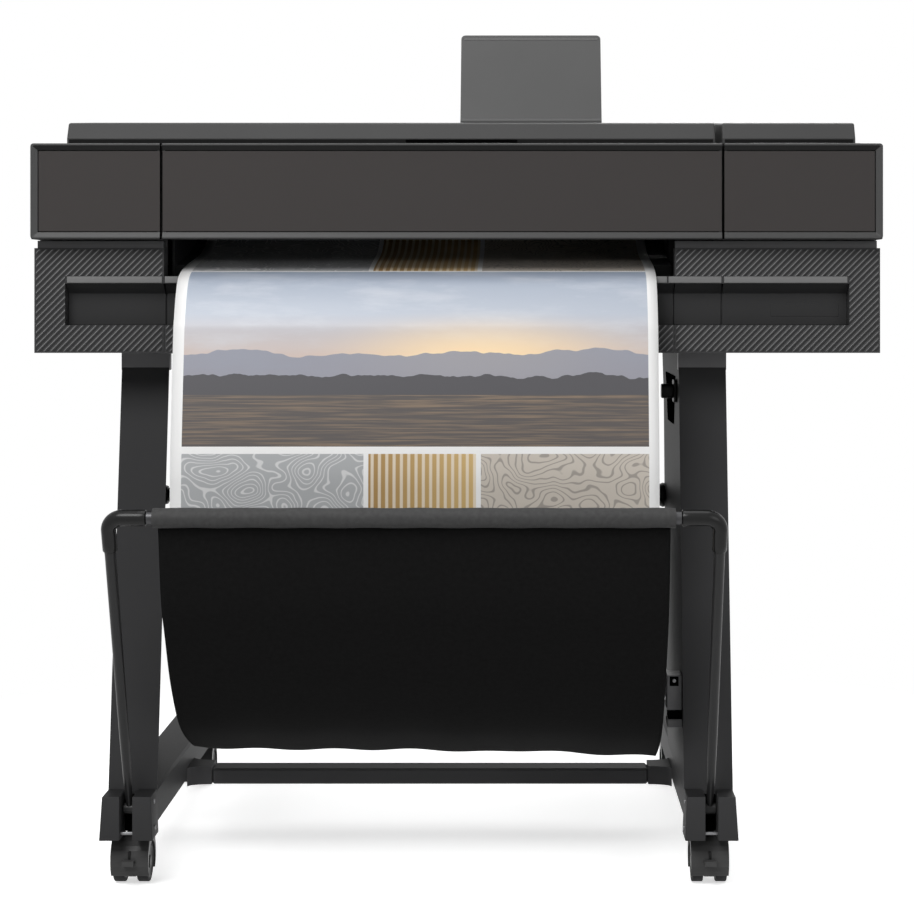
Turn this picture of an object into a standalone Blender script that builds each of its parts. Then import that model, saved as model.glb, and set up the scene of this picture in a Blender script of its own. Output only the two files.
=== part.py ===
"""Large format plotter on a wheeled stand with a fabric catch bin.

Metres, +Z up, X to the right, the front faces -Y. The origin is on the floor under the middle.
"""
import math

import bmesh
import bpy
from mathutils import Matrix, Vector

# Head and body
BODY_WIDTH = 1.085
HEAD_FRONT = -0.234
HEAD_BOTTOM = 0.8175
HEAD_TOP = 0.940
BODY_REAR = 0.297
BODY_BOTTOM = 0.6725
DOOR_LEFT = -0.3757
DOOR_RIGHT = 0.3387
WALL = 0.004
FRONT_WALL = 0.010
RIM = 0.0015
PANEL_SET_IN = 0.006
EDGE = 0.003
DOOR_GAP = 0.0008
DOOR_DEPTH = 0.0695
COVER_HINGE_BACK = 0.283

# Lower front panels and the long recess in them
LOWER_FRONT = -0.212
LOWER_DEPTH = 0.030
LOWER_TOP = 0.807
EXIT_RIGHT = 0.279
SILL_DROP = 0.0535
RECESS_INSET = 0.0395
RECESS_BOTTOM = 0.708
LIP_HEIGHT = 0.0095
RECESS_DEPTH = 0.022

# Roll cover, ink lid and sheet tray
HUMP_FRONT = -0.154
HUMP_LIP = 0.952
HUMP_SHOULDER_DEPTH = 0.012
HUMP_SHOULDER_DROP = 0.013
HUMP_CREST_FRONT = 0.016
HUMP_CREST_BACK = 0.200
HUMP_TOP = 0.986
HUMP_INSET_LEFT = 0.0295
HUMP_INSET_RIGHT = 0.0225
HUMP_SPLIT = 0.341
HUMP_SPLIT_GAP = 0.009
HUMP_WALL = 0.004
LID_EDGE = 0.0025
TRAY_CENTRE = 0.096
TRAY_WIDTH = 0.198
TRAY_LENGTH = 0.136
TRAY_THICKNESS = 0.003
TRAY_HINGE_BACK = 0.050
TRAY_KNUCKLE = 0.004
TRAY_LEAN = math.radians(22.0)
TRAY_CORNER = 0.006

# Controls
SCREEN_SIZE = (0.115, 0.054, 0.004)
SCREEN_TO_BUTTON = 0.025
BUTTON_MARGIN = 0.0275
CONTROLS_BACK = -0.195
BUTTON_RADIUS = 0.006
BUTTON_HEIGHT = 0.006
BUTTON_PROUD = 0.0025
INLET_SIZE = (0.048, 0.010, 0.030)
INLET_CENTRE = (0.270, 0.715)
INLET_WALL = 0.004

# Chassis
PAN_THICKNESS = 0.005
UPRIGHT_LEFT = -0.372
UPRIGHT_RIGHT = 0.343
UPRIGHT_THICKNESS = 0.003
UPRIGHT_FRONT = -0.150
UPRIGHT_BACK = 0.285
UPRIGHT_TOP = 0.932
BEAM_DEPTH = 0.020
BEAM_HEIGHT = 0.014

# Paper path
PAPER_WIDTH = 0.610
PAPER_CENTRE = -0.0506
PAPER_THICKNESS = 0.0006
NIP_BACK = 0.047
NIP_DROP = 0.1155
FEED_RADIUS = 0.012
FEED_SHAFT = 0.005
PINCH_RADIUS = 0.006
ROLL_RADIUS = 0.050
ROLL_CORE = 0.0255
ROLL_BACK = 0.150
ROLL_RISE = 0.0355
SPINDLE_RADIUS = 0.0125
FLANGE_RADIUS = 0.058
FLANGE_THICKNESS = 0.010
HUB_LENGTH = 0.020
WEB_STEPS = ((0.024, -0.005), (-0.034, -0.0215), (-0.150, -0.0375), (-0.205, -0.048), (-0.232, -0.0595),
             (-0.250, -0.0825), (-0.262, -0.1095), (-0.269, -0.1345), (-0.290, -0.2715), (-0.294, -0.3395),
             (-0.292, -0.4245), (-0.287, -0.5245))
PLATEN_FRONT = -0.172
PLATEN_BACK = 0.024
PLATEN_HEIGHT = 0.040
PLATEN_DROP = 0.0015

# Carriage drive
RAIL_FRONT = 0.0
RAIL_DEPTH = 0.016
RAIL_RISE = 0.036
RAIL_HEIGHT = 0.030
CARRIAGE_WIDTH = 0.090
CARRIAGE_DEPTH = 0.082
CARRIAGE_LIFT = 0.0015
CARRIAGE_HEIGHT = 0.074
CARRIAGE_HOOK = 0.016
CARRIAGE_PARK = 0.293
BELT_RISE = 0.016
BELT_FRONT = 0.008
BELT_WIDTH = 0.008
BELT_THICKNESS = 0.0015
PULLEY_RADIUS = 0.007
PULLEY_BORE = 0.0025
IDLER_MARGIN = 0.013
MOTOR_SIZE = 0.0434
MOTOR_LENGTH = 0.038
FEED_MOTOR_LENGTH = 0.046
STATION_DEPTH = 0.096

# Ink
INK_MARGIN = 0.015
INK_FRONT = -0.060
INK_DEPTH = 0.160
INK_STATION_TOP = 0.846
CARTRIDGE_HEIGHT = 0.075
CARTRIDGE_MARGIN = 0.004

# Stand
STAND_CENTRE = -0.046
STAND_HALF = 0.3665
LEG_WIDTH = 0.062
LEG_SHEET = 0.003
LEG_FOOT_FRONT = -0.234
LEG_HEAD_FRONT = -0.134
LEG_HEAD_BACK = 0.200
LEG_SHOULDER = (0.165, 0.600)
LEG_KNEE = (0.150, 0.480)
LEG_FOOT_BACK = 0.080
LEG_WINDOW = ((-0.070, 0.635), (0.100, 0.635), (0.060, 0.575), (-0.045, 0.575))
FOOT_WIDTH = 0.055
FOOT_BOTTOM = 0.068
FOOT_TOP = 0.114
FOOT_FRONT = -0.2362
CAP_WIDTH = 0.067
CAP_FRONT = -0.284
CAP_BOTTOM = 0.064
CAP_TOP = 0.119
CAP_SLOT = 0.0156
CAP_SLOT_BACK = -0.2425
BRACE_FRONT = 0.056
BRACE_DEPTH = 0.042
BRACE_BOTTOM = 0.060
BRACE_HEIGHT = 0.022
CORNER_LENGTH = 0.032
CORNER_RISE = 0.010
CORNER_FLARE = 0.006

# Casters
CASTER_FRONT = -0.215
CASTER_BACK = 0.360
CASTER_TRAIL = 0.014
WHEEL_RADIUS = 0.025
WHEEL_WIDTH = 0.015
WHEEL_INNER = 0.0075
AXLE_RADIUS = 0.003
HOOD_RADIUS = 0.030
HOOD_WIDTH = 0.048
HOOD_CENTRE = 0.0315
HOOD_BOTTOM = 0.011
WHEEL_ROOM = 0.0012
STEM_RADIUS = 0.010
PEDAL_SIZE = (0.0146, 0.012, 0.006)
PEDAL_BOTTOM = 0.0285

# Catch bin
PIVOT = (-0.254, 0.098)
BAR = (-0.404, 0.480)
BAR_RADIUS = 0.0085
BAR_END_GAP = 0.046
SLEEVE_RADIUS = 0.0125
SLEEVE_MARGIN = 0.008
ELBOW_RADIUS = 0.0098
ELBOW_BEND = 0.022
ELBOW_DROP = 0.044
ROD_RADIUS = 0.005
ROD_HUB = 0.007
SLING_THICKNESS = 0.0025
SLING_MARGIN = 0.0055
SLING = ((-0.378, 0.378), (-0.348, 0.325), (-0.301, 0.256), (-0.229, 0.192), (-0.118, 0.1465),
         (-0.060, 0.140), (0.010, 0.155), (0.070, 0.220), (0.115, 0.330))
SLING_FOLD = 0.006
SLING_FOLDS = 3
REAR_TUBE = (0.130, 0.460)
REAR_TUBE_RADIUS = 0.010

# Fits
GAP = 0.0003
SEGMENTS = 28

FINISHES = {
    "shell": ((0.105, 0.102, 0.100), 0.55, 0.0),
    "lid": ((0.110, 0.110, 0.110), 0.55, 0.0),
    "steel": ((0.060, 0.060, 0.060), 0.50, 0.2),
    "bright": ((0.520, 0.520, 0.530), 0.30, 0.9),
    "rubber": ((0.020, 0.020, 0.020), 0.80, 0.0),
    "plastic": ((0.018, 0.018, 0.018), 0.50, 0.0),
    "fabric": ((0.010, 0.010, 0.010), 0.95, 0.0),
    "paper": ((0.800, 0.800, 0.780), 0.80, 0.0),
    "glass": ((0.010, 0.010, 0.012), 0.08, 0.0),
    "cyan": ((0.010, 0.300, 0.600), 0.40, 0.0),
    "magenta": ((0.600, 0.020, 0.250), 0.40, 0.0),
    "yellow": ((0.800, 0.600, 0.020), 0.40, 0.0),
    "black": ((0.015, 0.015, 0.015), 0.40, 0.0),
}


def clear_scene():
    for item in list(bpy.data.objects):
        bpy.data.objects.remove(item, do_unlink=True)


def collection(name):
    group = bpy.data.collections.new(name)
    bpy.context.scene.collection.children.link(group)
    return group


def finish(name):
    """Principled material of one finish, made once."""
    material = bpy.data.materials.get(name)
    if material is None:
        colour, roughness, metallic = FINISHES[name]
        material = bpy.data.materials.new(name)
        material.use_nodes = True
        shader = material.node_tree.nodes["Principled BSDF"]
        shader.inputs["Base Color"].default_value = (*colour, 1.0)
        shader.inputs["Roughness"].default_value = roughness
        shader.inputs["Metallic"].default_value = metallic
    return material


def mesh_from(bm, name):
    bmesh.ops.recalc_face_normals(bm, faces=bm.faces)
    mesh = bpy.data.meshes.new(name)
    bm.to_mesh(mesh)
    bm.free()
    return mesh


def place(name, mesh, look=None, origin=(0.0, 0.0, 0.0), group=None):
    """Object with its origin at a chosen point and its mesh still where it was drawn."""
    mesh.transform(Matrix.Translation(-Vector(origin)))
    item = bpy.data.objects.new(name, mesh)
    item.location = origin
    (group or PARTS).objects.link(item)
    if look:
        mesh.materials.append(finish(look))
    return item


def box_mesh(low, high):
    low, high = Vector(low), Vector(high)
    bm = bmesh.new()
    size = high - low
    matrix = Matrix.LocRotScale((low + high) / 2, None, size)
    bmesh.ops.create_cube(bm, size=1.0, matrix=matrix)
    return mesh_from(bm, "box")


AXES = {"X": Matrix.Rotation(math.pi / 2, 4, "Y"), "Y": Matrix.Rotation(-math.pi / 2, 4, "X"),
        "Z": Matrix.Identity(4)}


def rod_mesh(axis, radius, start, end, across, segments=SEGMENTS, turn=0.0):
    """Cylinder along an axis from start to end; across holds the two other coordinates in order."""
    middle = (start + end) / 2
    centre = {"X": (middle, *across), "Y": (across[0], middle, across[1]), "Z": (*across, middle)}[axis]
    spin = Matrix.Rotation(turn, 4, "Z")
    bm = bmesh.new()
    bmesh.ops.create_cone(bm, cap_ends=True, segments=segments, radius1=radius, radius2=radius,
                          depth=end - start, matrix=Matrix.Translation(centre) @ AXES[axis] @ spin)
    return mesh_from(bm, "rod")


def curve_mesh(curve, matrix):
    """Closed mesh of a curve, with its caps welded."""
    item = bpy.data.objects.new("curve", curve)
    bpy.context.scene.collection.objects.link(item)
    graph = bpy.context.evaluated_depsgraph_get()
    mesh = bpy.data.meshes.new_from_object(item.evaluated_get(graph))
    bpy.data.objects.remove(item, do_unlink=True)
    bm = bmesh.new()
    bm.from_mesh(mesh)
    bmesh.ops.remove_doubles(bm, verts=bm.verts, dist=0.00002)
    bmesh.ops.transform(bm, matrix=matrix, verts=bm.verts)
    return mesh_from(bm, "curve")


def flat_curve(points, thickness):
    curve = bpy.data.curves.new("outline", "CURVE")
    curve.dimensions = "2D"
    curve.fill_mode = "BOTH"
    curve.extrude = thickness / 2
    spline = curve.splines.new("POLY")
    spline.points.add(len(points) - 1)
    for point, (u, v) in zip(spline.points, points):
        point.co = (u, v, 0.0, 1.0)
    spline.use_cyclic_u = True
    return curve


def side_mesh(outline, left, right):
    """A side outline in Y and Z carried along X."""
    turn = Matrix.Rotation(math.pi / 2, 4, "Z") @ Matrix.Rotation(math.pi / 2, 4, "X")
    matrix = Matrix.Translation(((left + right) / 2, 0.0, 0.0)) @ turn
    return curve_mesh(flat_curve(outline, right - left), matrix)


def tube_mesh(points, radius, resolution=3):
    curve = bpy.data.curves.new("tube", "CURVE")
    curve.dimensions = "3D"
    curve.bevel_depth = radius
    curve.bevel_resolution = resolution
    curve.use_fill_caps = True
    spline = curve.splines.new("POLY")
    spline.points.add(len(points) - 1)
    for point, co in zip(spline.points, points):
        point.co = (*co, 1.0)
    return curve_mesh(curve, Matrix.Identity(4))


def turned(name, profile, across, look):
    """Profile of (x, radius) points turned about a line along X with a Screw modifier."""
    mesh = bpy.data.meshes.new(name)
    points = [(radius, 0.0, x) for x, radius in reversed(profile)]
    edges = [(i, i + 1) for i in range(len(points) - 1)]
    mesh.from_pydata(points, edges, [])
    item = bpy.data.objects.new(name, mesh)
    item.location = (0.0, *across)
    item.rotation_euler = (0.0, math.pi / 2, 0.0)
    PARTS.objects.link(item)
    mesh.materials.append(finish(look))
    screw = item.modifiers.new("turn", "SCREW")
    screw.steps = SEGMENTS
    screw.render_steps = SEGMENTS
    screw.use_merge_vertices = True
    screw.merge_threshold = 0.00001
    return item


def boolean(item, mesh, operation):
    tool = place(item.name + "_" + operation.lower(), mesh, group=CUTTERS)
    tool.hide_render = True
    tool.display_type = "WIRE"
    change = item.modifiers.new(operation.lower(), "BOOLEAN")
    change.operation = operation
    change.object = tool


def cut(item, mesh):
    boolean(item, mesh, "DIFFERENCE")


def join(item, mesh):
    boolean(item, mesh, "UNION")


def bevel(item, width, segments=2):
    rounding = item.modifiers.new("bevel", "BEVEL")
    rounding.width = width
    rounding.segments = segments
    rounding.limit_method = "ANGLE"


clear_scene()
PARTS = collection("large_format_plotter")
CUTTERS = collection("cutters")

HALF = BODY_WIDTH / 2
HUMP_LEFT = HUMP_INSET_LEFT - HALF
HUMP_RIGHT = HALF - HUMP_INSET_RIGHT
RECESS_HALF = HALF - RECESS_INSET
BUTTON_CENTRE = (HALF - BUTTON_MARGIN, CONTROLS_BACK)
SCREEN_CENTRE = (BUTTON_CENTRE[0] - SCREEN_TO_BUTTON - SCREEN_SIZE[0] / 2, CONTROLS_BACK)
NIP_HEIGHT = HEAD_TOP - NIP_DROP
ROLL_HEIGHT = NIP_HEIGHT + ROLL_RISE
EXIT_SILL = NIP_HEIGHT - SILL_DROP
RECESS_TOP = EXIT_SILL - LIP_HEIGHT
WEB = tuple((y, NIP_HEIGHT + step) for y, step in WEB_STEPS)
CARRIAGE_BOTTOM = NIP_HEIGHT + CARRIAGE_LIFT
CARRIAGE_TOP = CARRIAGE_BOTTOM + CARRIAGE_HEIGHT
RAIL_BOTTOM = CARRIAGE_BOTTOM + RAIL_RISE
BELT_HEIGHT = RAIL_BOTTOM + RAIL_HEIGHT + BELT_RISE
LOWER_BACK = LOWER_FRONT + LOWER_DEPTH
PAN_FRONT = LOWER_BACK + GAP
PAN_TOP = BODY_BOTTOM + PAN_THICKNESS
COVER_BOTTOM = PAN_TOP + GAP
ROOF = HEAD_TOP + 0.0005
COVER_HINGE = (COVER_HINGE_BACK, ROOF + 0.0015)
DOOR_HINGE = (HEAD_FRONT + DOOR_DEPTH, HEAD_TOP - WALL)
INNER_LEFT = UPRIGHT_LEFT + GAP
INNER_RIGHT = UPRIGHT_RIGHT - GAP
MOTOR_PULLEY_X = INNER_LEFT + MOTOR_SIZE / 2
IDLER_PULLEY_X = UPRIGHT_RIGHT - IDLER_MARGIN
INK_LEFT = UPRIGHT_RIGHT + UPRIGHT_THICKNESS + INK_MARGIN
INK_RIGHT = HALF - WALL - INK_MARGIN
INK_WIDTH = INK_RIGHT - INK_LEFT
PAPER_LEFT = PAPER_CENTRE - PAPER_WIDTH / 2
PAPER_RIGHT = PAPER_CENTRE + PAPER_WIDTH / 2
LEGS = {"left": STAND_CENTRE - STAND_HALF, "right": STAND_CENTRE + STAND_HALF}
REACH = SLEEVE_RADIUS - BAR[0]
LEG_BOTTOM = FOOT_TOP + GAP
LEG_TOP = BODY_BOTTOM - GAP
FEED_HEIGHT = NIP_HEIGHT - PAPER_THICKNESS / 2 - GAP - FEED_RADIUS
PINCH_HEIGHT = NIP_HEIGHT + PAPER_THICKNESS / 2 + GAP + PINCH_RADIUS
TRAY_HINGE = (TRAY_HINGE_BACK, HUMP_TOP + TRAY_KNUCKLE + GAP)


def make_chassis():
    """Base pan with two uprights, the front cross beam and the idler's pin in one welded piece."""
    pan = box_mesh((-HALF, PAN_FRONT, BODY_BOTTOM), (HALF, BODY_REAR, PAN_TOP))
    chassis = place("chassis", pan, "steel")
    sides = ((UPRIGHT_LEFT - UPRIGHT_THICKNESS, UPRIGHT_LEFT),
             (UPRIGHT_RIGHT, UPRIGHT_RIGHT + UPRIGHT_THICKNESS))
    for left, right in sides:
        low = (left, UPRIGHT_FRONT, BODY_BOTTOM + GAP)
        join(chassis, box_mesh(low, (right, UPRIGHT_BACK, UPRIGHT_TOP)))
    beam_low = (UPRIGHT_LEFT - GAP, UPRIGHT_FRONT + GAP, UPRIGHT_TOP - BEAM_HEIGHT)
    beam_high = (UPRIGHT_RIGHT + GAP, UPRIGHT_FRONT + BEAM_DEPTH, UPRIGHT_TOP - GAP)
    join(chassis, box_mesh(beam_low, beam_high))
    pin_radius = PULLEY_BORE - GAP
    ear_front = BELT_FRONT + BELT_WIDTH + 2 * GAP
    ear_low = (IDLER_PULLEY_X - PULLEY_RADIUS, ear_front, BELT_HEIGHT - PULLEY_RADIUS)
    ear_high = (UPRIGHT_RIGHT + GAP, ear_front + UPRIGHT_THICKNESS, BELT_HEIGHT + PULLEY_RADIUS)
    join(chassis, box_mesh(ear_low, ear_high))
    join(chassis, rod_mesh("Y", pin_radius, BELT_FRONT, ear_front + GAP, (IDLER_PULLEY_X, BELT_HEIGHT)))
    bore = FEED_SHAFT + GAP
    cut(chassis, rod_mesh("X", bore, UPRIGHT_LEFT - 0.01, UPRIGHT_LEFT + 0.01, (NIP_BACK, FEED_HEIGHT)))


def make_end_cover(name, left, right, outer):
    """Hollow end of the head, open below and towards the middle, with a set-in front panel."""
    outline = ((PAN_FRONT, COVER_BOTTOM), (PAN_FRONT, HEAD_BOTTOM), (HEAD_FRONT, HEAD_BOTTOM),
               (HEAD_FRONT, HEAD_TOP), (BODY_REAR, HEAD_TOP), (BODY_REAR, COVER_BOTTOM))
    inner = ((PAN_FRONT + WALL, COVER_BOTTOM - WALL), (PAN_FRONT + WALL, HEAD_BOTTOM + WALL),
             (HEAD_FRONT + FRONT_WALL, HEAD_BOTTOM + WALL), (HEAD_FRONT + FRONT_WALL, HEAD_TOP - WALL),
             (BODY_REAR - WALL, HEAD_TOP - WALL), (BODY_REAR - WALL, COVER_BOTTOM - WALL))
    cover = place(name, side_mesh(outline, left, right), "shell")
    bevel(cover, EDGE)
    hollow = (left + WALL, right + WALL) if outer == left else (left - WALL, right - WALL)
    cut(cover, side_mesh(inner, *hollow))
    set_in(cover, left, right)
    return cover


def set_in(item, left, right):
    """Recess of the dark front panel, inside the rim."""
    rim = EDGE + RIM
    low = (left + rim, HEAD_FRONT - WALL, HEAD_BOTTOM + rim)
    cut(item, box_mesh(low, (right - rim, HEAD_FRONT + PANEL_SET_IN, HEAD_TOP - rim)))


def make_covers():
    make_end_cover("left_end_cover", -HALF, DOOR_LEFT - DOOR_GAP, -HALF)
    right = make_end_cover("right_end_cover", DOOR_RIGHT + DOOR_GAP, HALF, HALF)
    hole = BUTTON_RADIUS + GAP
    cut(right, rod_mesh("Z", hole, HEAD_TOP - 2 * WALL, HEAD_TOP + WALL, BUTTON_CENTRE))
    hatch_low = (INK_LEFT, INK_FRONT, HEAD_TOP - 2 * WALL)
    cut(right, box_mesh(hatch_low, (INK_RIGHT, INK_FRONT + INK_DEPTH, HEAD_TOP + WALL)))
    outline = ((HEAD_FRONT, HEAD_BOTTOM), (HEAD_FRONT, HEAD_TOP), (DOOR_HINGE[0], HEAD_TOP),
               (DOOR_HINGE[0], HEAD_TOP - WALL), (HEAD_FRONT + FRONT_WALL, HEAD_TOP - WALL),
               (HEAD_FRONT + FRONT_WALL, HEAD_BOTTOM))
    door = place("front_door", side_mesh(outline, DOOR_LEFT, DOOR_RIGHT), "shell", (0.0, *DOOR_HINGE))
    set_in(door, DOOR_LEFT, DOOR_RIGHT)
    low = (DOOR_LEFT, BODY_REAR - WALL, COVER_BOTTOM)
    place("rear_cover", box_mesh(low, (DOOR_RIGHT, BODY_REAR, HEAD_TOP)), "shell")


def make_lower_front():
    """Three ribbed panels below the head with one long recess across them."""
    spans = {"lower_front_left": (-HALF, DOOR_LEFT - GAP * 2, LOWER_TOP),
             "lower_front_centre": (DOOR_LEFT, EXIT_RIGHT - GAP, EXIT_SILL),
             "lower_front_right": (EXIT_RIGHT, HALF, LOWER_TOP)}
    for name, (left, right, top) in spans.items():
        slab = box_mesh((left, LOWER_FRONT, BODY_BOTTOM), (right, LOWER_BACK, top))
        panel = place(name, slab, "shell")
        low = (-RECESS_HALF, LOWER_FRONT - GAP, RECESS_BOTTOM)
        cut(panel, box_mesh(low, (RECESS_HALF, LOWER_FRONT + RECESS_DEPTH, RECESS_TOP)))


def make_lid(name, left, right):
    """Hollow lid with a short front wall, a steep slope, a gently rising top, a crest and a sloping back."""
    wall = HUMP_WALL
    shoulder, shoulder_top = HUMP_FRONT + HUMP_SHOULDER_DEPTH, HUMP_TOP - HUMP_SHOULDER_DROP
    outline = ((HUMP_FRONT, ROOF), (HUMP_FRONT, HUMP_LIP), (shoulder, shoulder_top),
               (HUMP_CREST_FRONT, HUMP_TOP), (HUMP_CREST_BACK, HUMP_TOP), (COVER_HINGE_BACK, ROOF))
    inner = ((HUMP_FRONT + wall, ROOF - wall), (HUMP_FRONT + wall, HUMP_LIP),
             (shoulder + wall, shoulder_top - wall), (HUMP_CREST_FRONT, HUMP_TOP - wall),
             (HUMP_CREST_BACK - wall, HUMP_TOP - wall), (COVER_HINGE_BACK - wall, ROOF),
             (COVER_HINGE_BACK - wall, ROOF - wall))
    lid = place(name, side_mesh(outline, left, right), "lid", (0.0, *COVER_HINGE))
    bevel(lid, LID_EDGE)
    cut(lid, side_mesh(inner, left + wall, right - wall))


def make_tray():
    """Flat tray with rounded far corners on a hinge knuckle, standing up and leaning back."""
    half = TRAY_WIDTH / 2
    turns = [i * math.pi / 8 for i in range(5)]
    corner = [(half - TRAY_CORNER + TRAY_CORNER * math.cos(a),
               TRAY_LENGTH - TRAY_CORNER + TRAY_CORNER * math.sin(a)) for a in turns]
    outline = [(-half, 0.0), (half, 0.0), *corner, *((-x, y) for x, y in reversed(corner))]
    stand = Matrix.Rotation(math.pi / 2 - TRAY_LEAN, 4, "X")
    matrix = Matrix.Translation((TRAY_CENTRE, *TRAY_HINGE)) @ stand
    mesh = curve_mesh(flat_curve(outline, TRAY_THICKNESS), matrix)
    tray = place("sheet_tray", mesh, "lid", (TRAY_CENTRE, *TRAY_HINGE))
    join(tray, rod_mesh("X", TRAY_KNUCKLE, TRAY_CENTRE - half, TRAY_CENTRE + half, TRAY_HINGE, 12))


def make_controls():
    x, y = SCREEN_CENTRE
    wide, deep, high = SCREEN_SIZE
    base = HEAD_TOP + GAP
    low = (x - wide / 2, y - deep / 2, base)
    screen = place("touch_screen", box_mesh(low, (x + wide / 2, y + deep / 2, base + high)), "glass")
    bevel(screen, 0.001, 1)
    top = HEAD_TOP + BUTTON_PROUD
    mesh = rod_mesh("Z", BUTTON_RADIUS, top - BUTTON_HEIGHT, top, BUTTON_CENTRE, 20)
    place("power_button", mesh, "plastic", (*BUTTON_CENTRE, top))
    x, z = INLET_CENTRE
    wide, deep, high = INLET_SIZE
    back = BODY_REAR + GAP
    low = (x - wide / 2, back, z - high / 2)
    inlet = place("power_inlet", box_mesh(low, (x + wide / 2, back + deep, z + high / 2)), "plastic")
    low = (x - wide / 2 + INLET_WALL, back + INLET_WALL / 2, z - high / 2 + INLET_WALL)
    high_corner = (x + wide / 2 - INLET_WALL, back + 2 * deep, z + high / 2 - INLET_WALL)
    cut(inlet, box_mesh(low, high_corner))


def web_path():
    """Paper's way from its tangent on the roll, through the nip and out to the bin."""
    dy, dz = NIP_BACK - ROLL_BACK, NIP_HEIGHT - ROLL_HEIGHT
    reach = math.hypot(dy, dz)
    radius = ROLL_RADIUS + PAPER_THICKNESS / 2 + GAP
    turn = math.atan2(dz, dy) + math.acos(radius / reach)
    start = (ROLL_BACK + radius * math.cos(turn), ROLL_HEIGHT + radius * math.sin(turn))
    return [start, (NIP_BACK, NIP_HEIGHT), *WEB]


def thick_line(path, thickness):
    """Closed outline of an open line with an even thickness."""
    points = [Vector(p) for p in path]
    sides = []
    for i, point in enumerate(points):
        along = points[min(i + 1, len(points) - 1)] - points[max(i - 1, 0)]
        across = Vector((-along.y, along.x)).normalized() * thickness / 2
        sides.append((point + across, point - across))
    return [tuple(a) for a, _ in sides] + [tuple(b) for _, b in reversed(sides)]


def make_paper_path():
    path = web_path()
    sheet = side_mesh(thick_line(path, PAPER_THICKNESS), PAPER_LEFT, PAPER_RIGHT)
    place("printed_sheet", sheet, "paper")
    bed = [(y, z - PLATEN_DROP) for y, z in WEB if PLATEN_FRONT < y <= PLATEN_BACK]
    floor = bed[-1][1] - PLATEN_HEIGHT
    outline = [*bed, (bed[-1][0], floor), (bed[0][0], floor)]
    place("platen", side_mesh(outline, INNER_LEFT, EXIT_RIGHT), "plastic")
    shaft_end = UPRIGHT_LEFT - UPRIGHT_THICKNESS
    roller = ((shaft_end, 0.0), (shaft_end, FEED_SHAFT), (INNER_LEFT, FEED_SHAFT),
              (INNER_LEFT, FEED_RADIUS), (INNER_RIGHT, FEED_RADIUS), (INNER_RIGHT, 0.0))
    turned("feed_roller", roller, (NIP_BACK, FEED_HEIGHT), "rubber")
    pinch = ((INNER_LEFT, 0.0), (INNER_LEFT, PINCH_RADIUS),
             (INNER_RIGHT, PINCH_RADIUS), (INNER_RIGHT, 0.0))
    turned("pinch_roller", pinch, (NIP_BACK, PINCH_HEIGHT), "rubber")
    hub = ROLL_CORE - GAP
    left, right = PAPER_LEFT - GAP, PAPER_RIGHT + GAP
    spindle = ((INNER_LEFT, 0.0), (INNER_LEFT, SPINDLE_RADIUS), (left - FLANGE_THICKNESS, SPINDLE_RADIUS),
               (left - FLANGE_THICKNESS, FLANGE_RADIUS), (left, FLANGE_RADIUS), (left, hub),
               (left + HUB_LENGTH, hub), (left + HUB_LENGTH, SPINDLE_RADIUS),
               (right - HUB_LENGTH, SPINDLE_RADIUS), (right - HUB_LENGTH, hub),
               (right, hub), (right, FLANGE_RADIUS),
               (right + FLANGE_THICKNESS, FLANGE_RADIUS), (right + FLANGE_THICKNESS, SPINDLE_RADIUS),
               (INNER_RIGHT, SPINDLE_RADIUS), (INNER_RIGHT, 0.0))
    turned("roll_spindle", spindle, (ROLL_BACK, ROLL_HEIGHT), "plastic")
    across = (ROLL_BACK, ROLL_HEIGHT)
    roll = place("paper_roll", rod_mesh("X", ROLL_RADIUS, PAPER_LEFT, PAPER_RIGHT, across), "paper",
                 (PAPER_CENTRE, *across))
    cut(roll, rod_mesh("X", ROLL_CORE, PAPER_LEFT - GAP, PAPER_RIGHT + GAP, across))
    half = MOTOR_SIZE / 2
    low = (shaft_end - GAP - FEED_MOTOR_LENGTH, NIP_BACK - half, FEED_HEIGHT - half)
    high = (shaft_end - GAP, NIP_BACK + half, FEED_HEIGHT + half)
    motor = place("feed_motor", box_mesh(low, high), "steel")
    bevel(motor, 0.004, 1)


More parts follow.
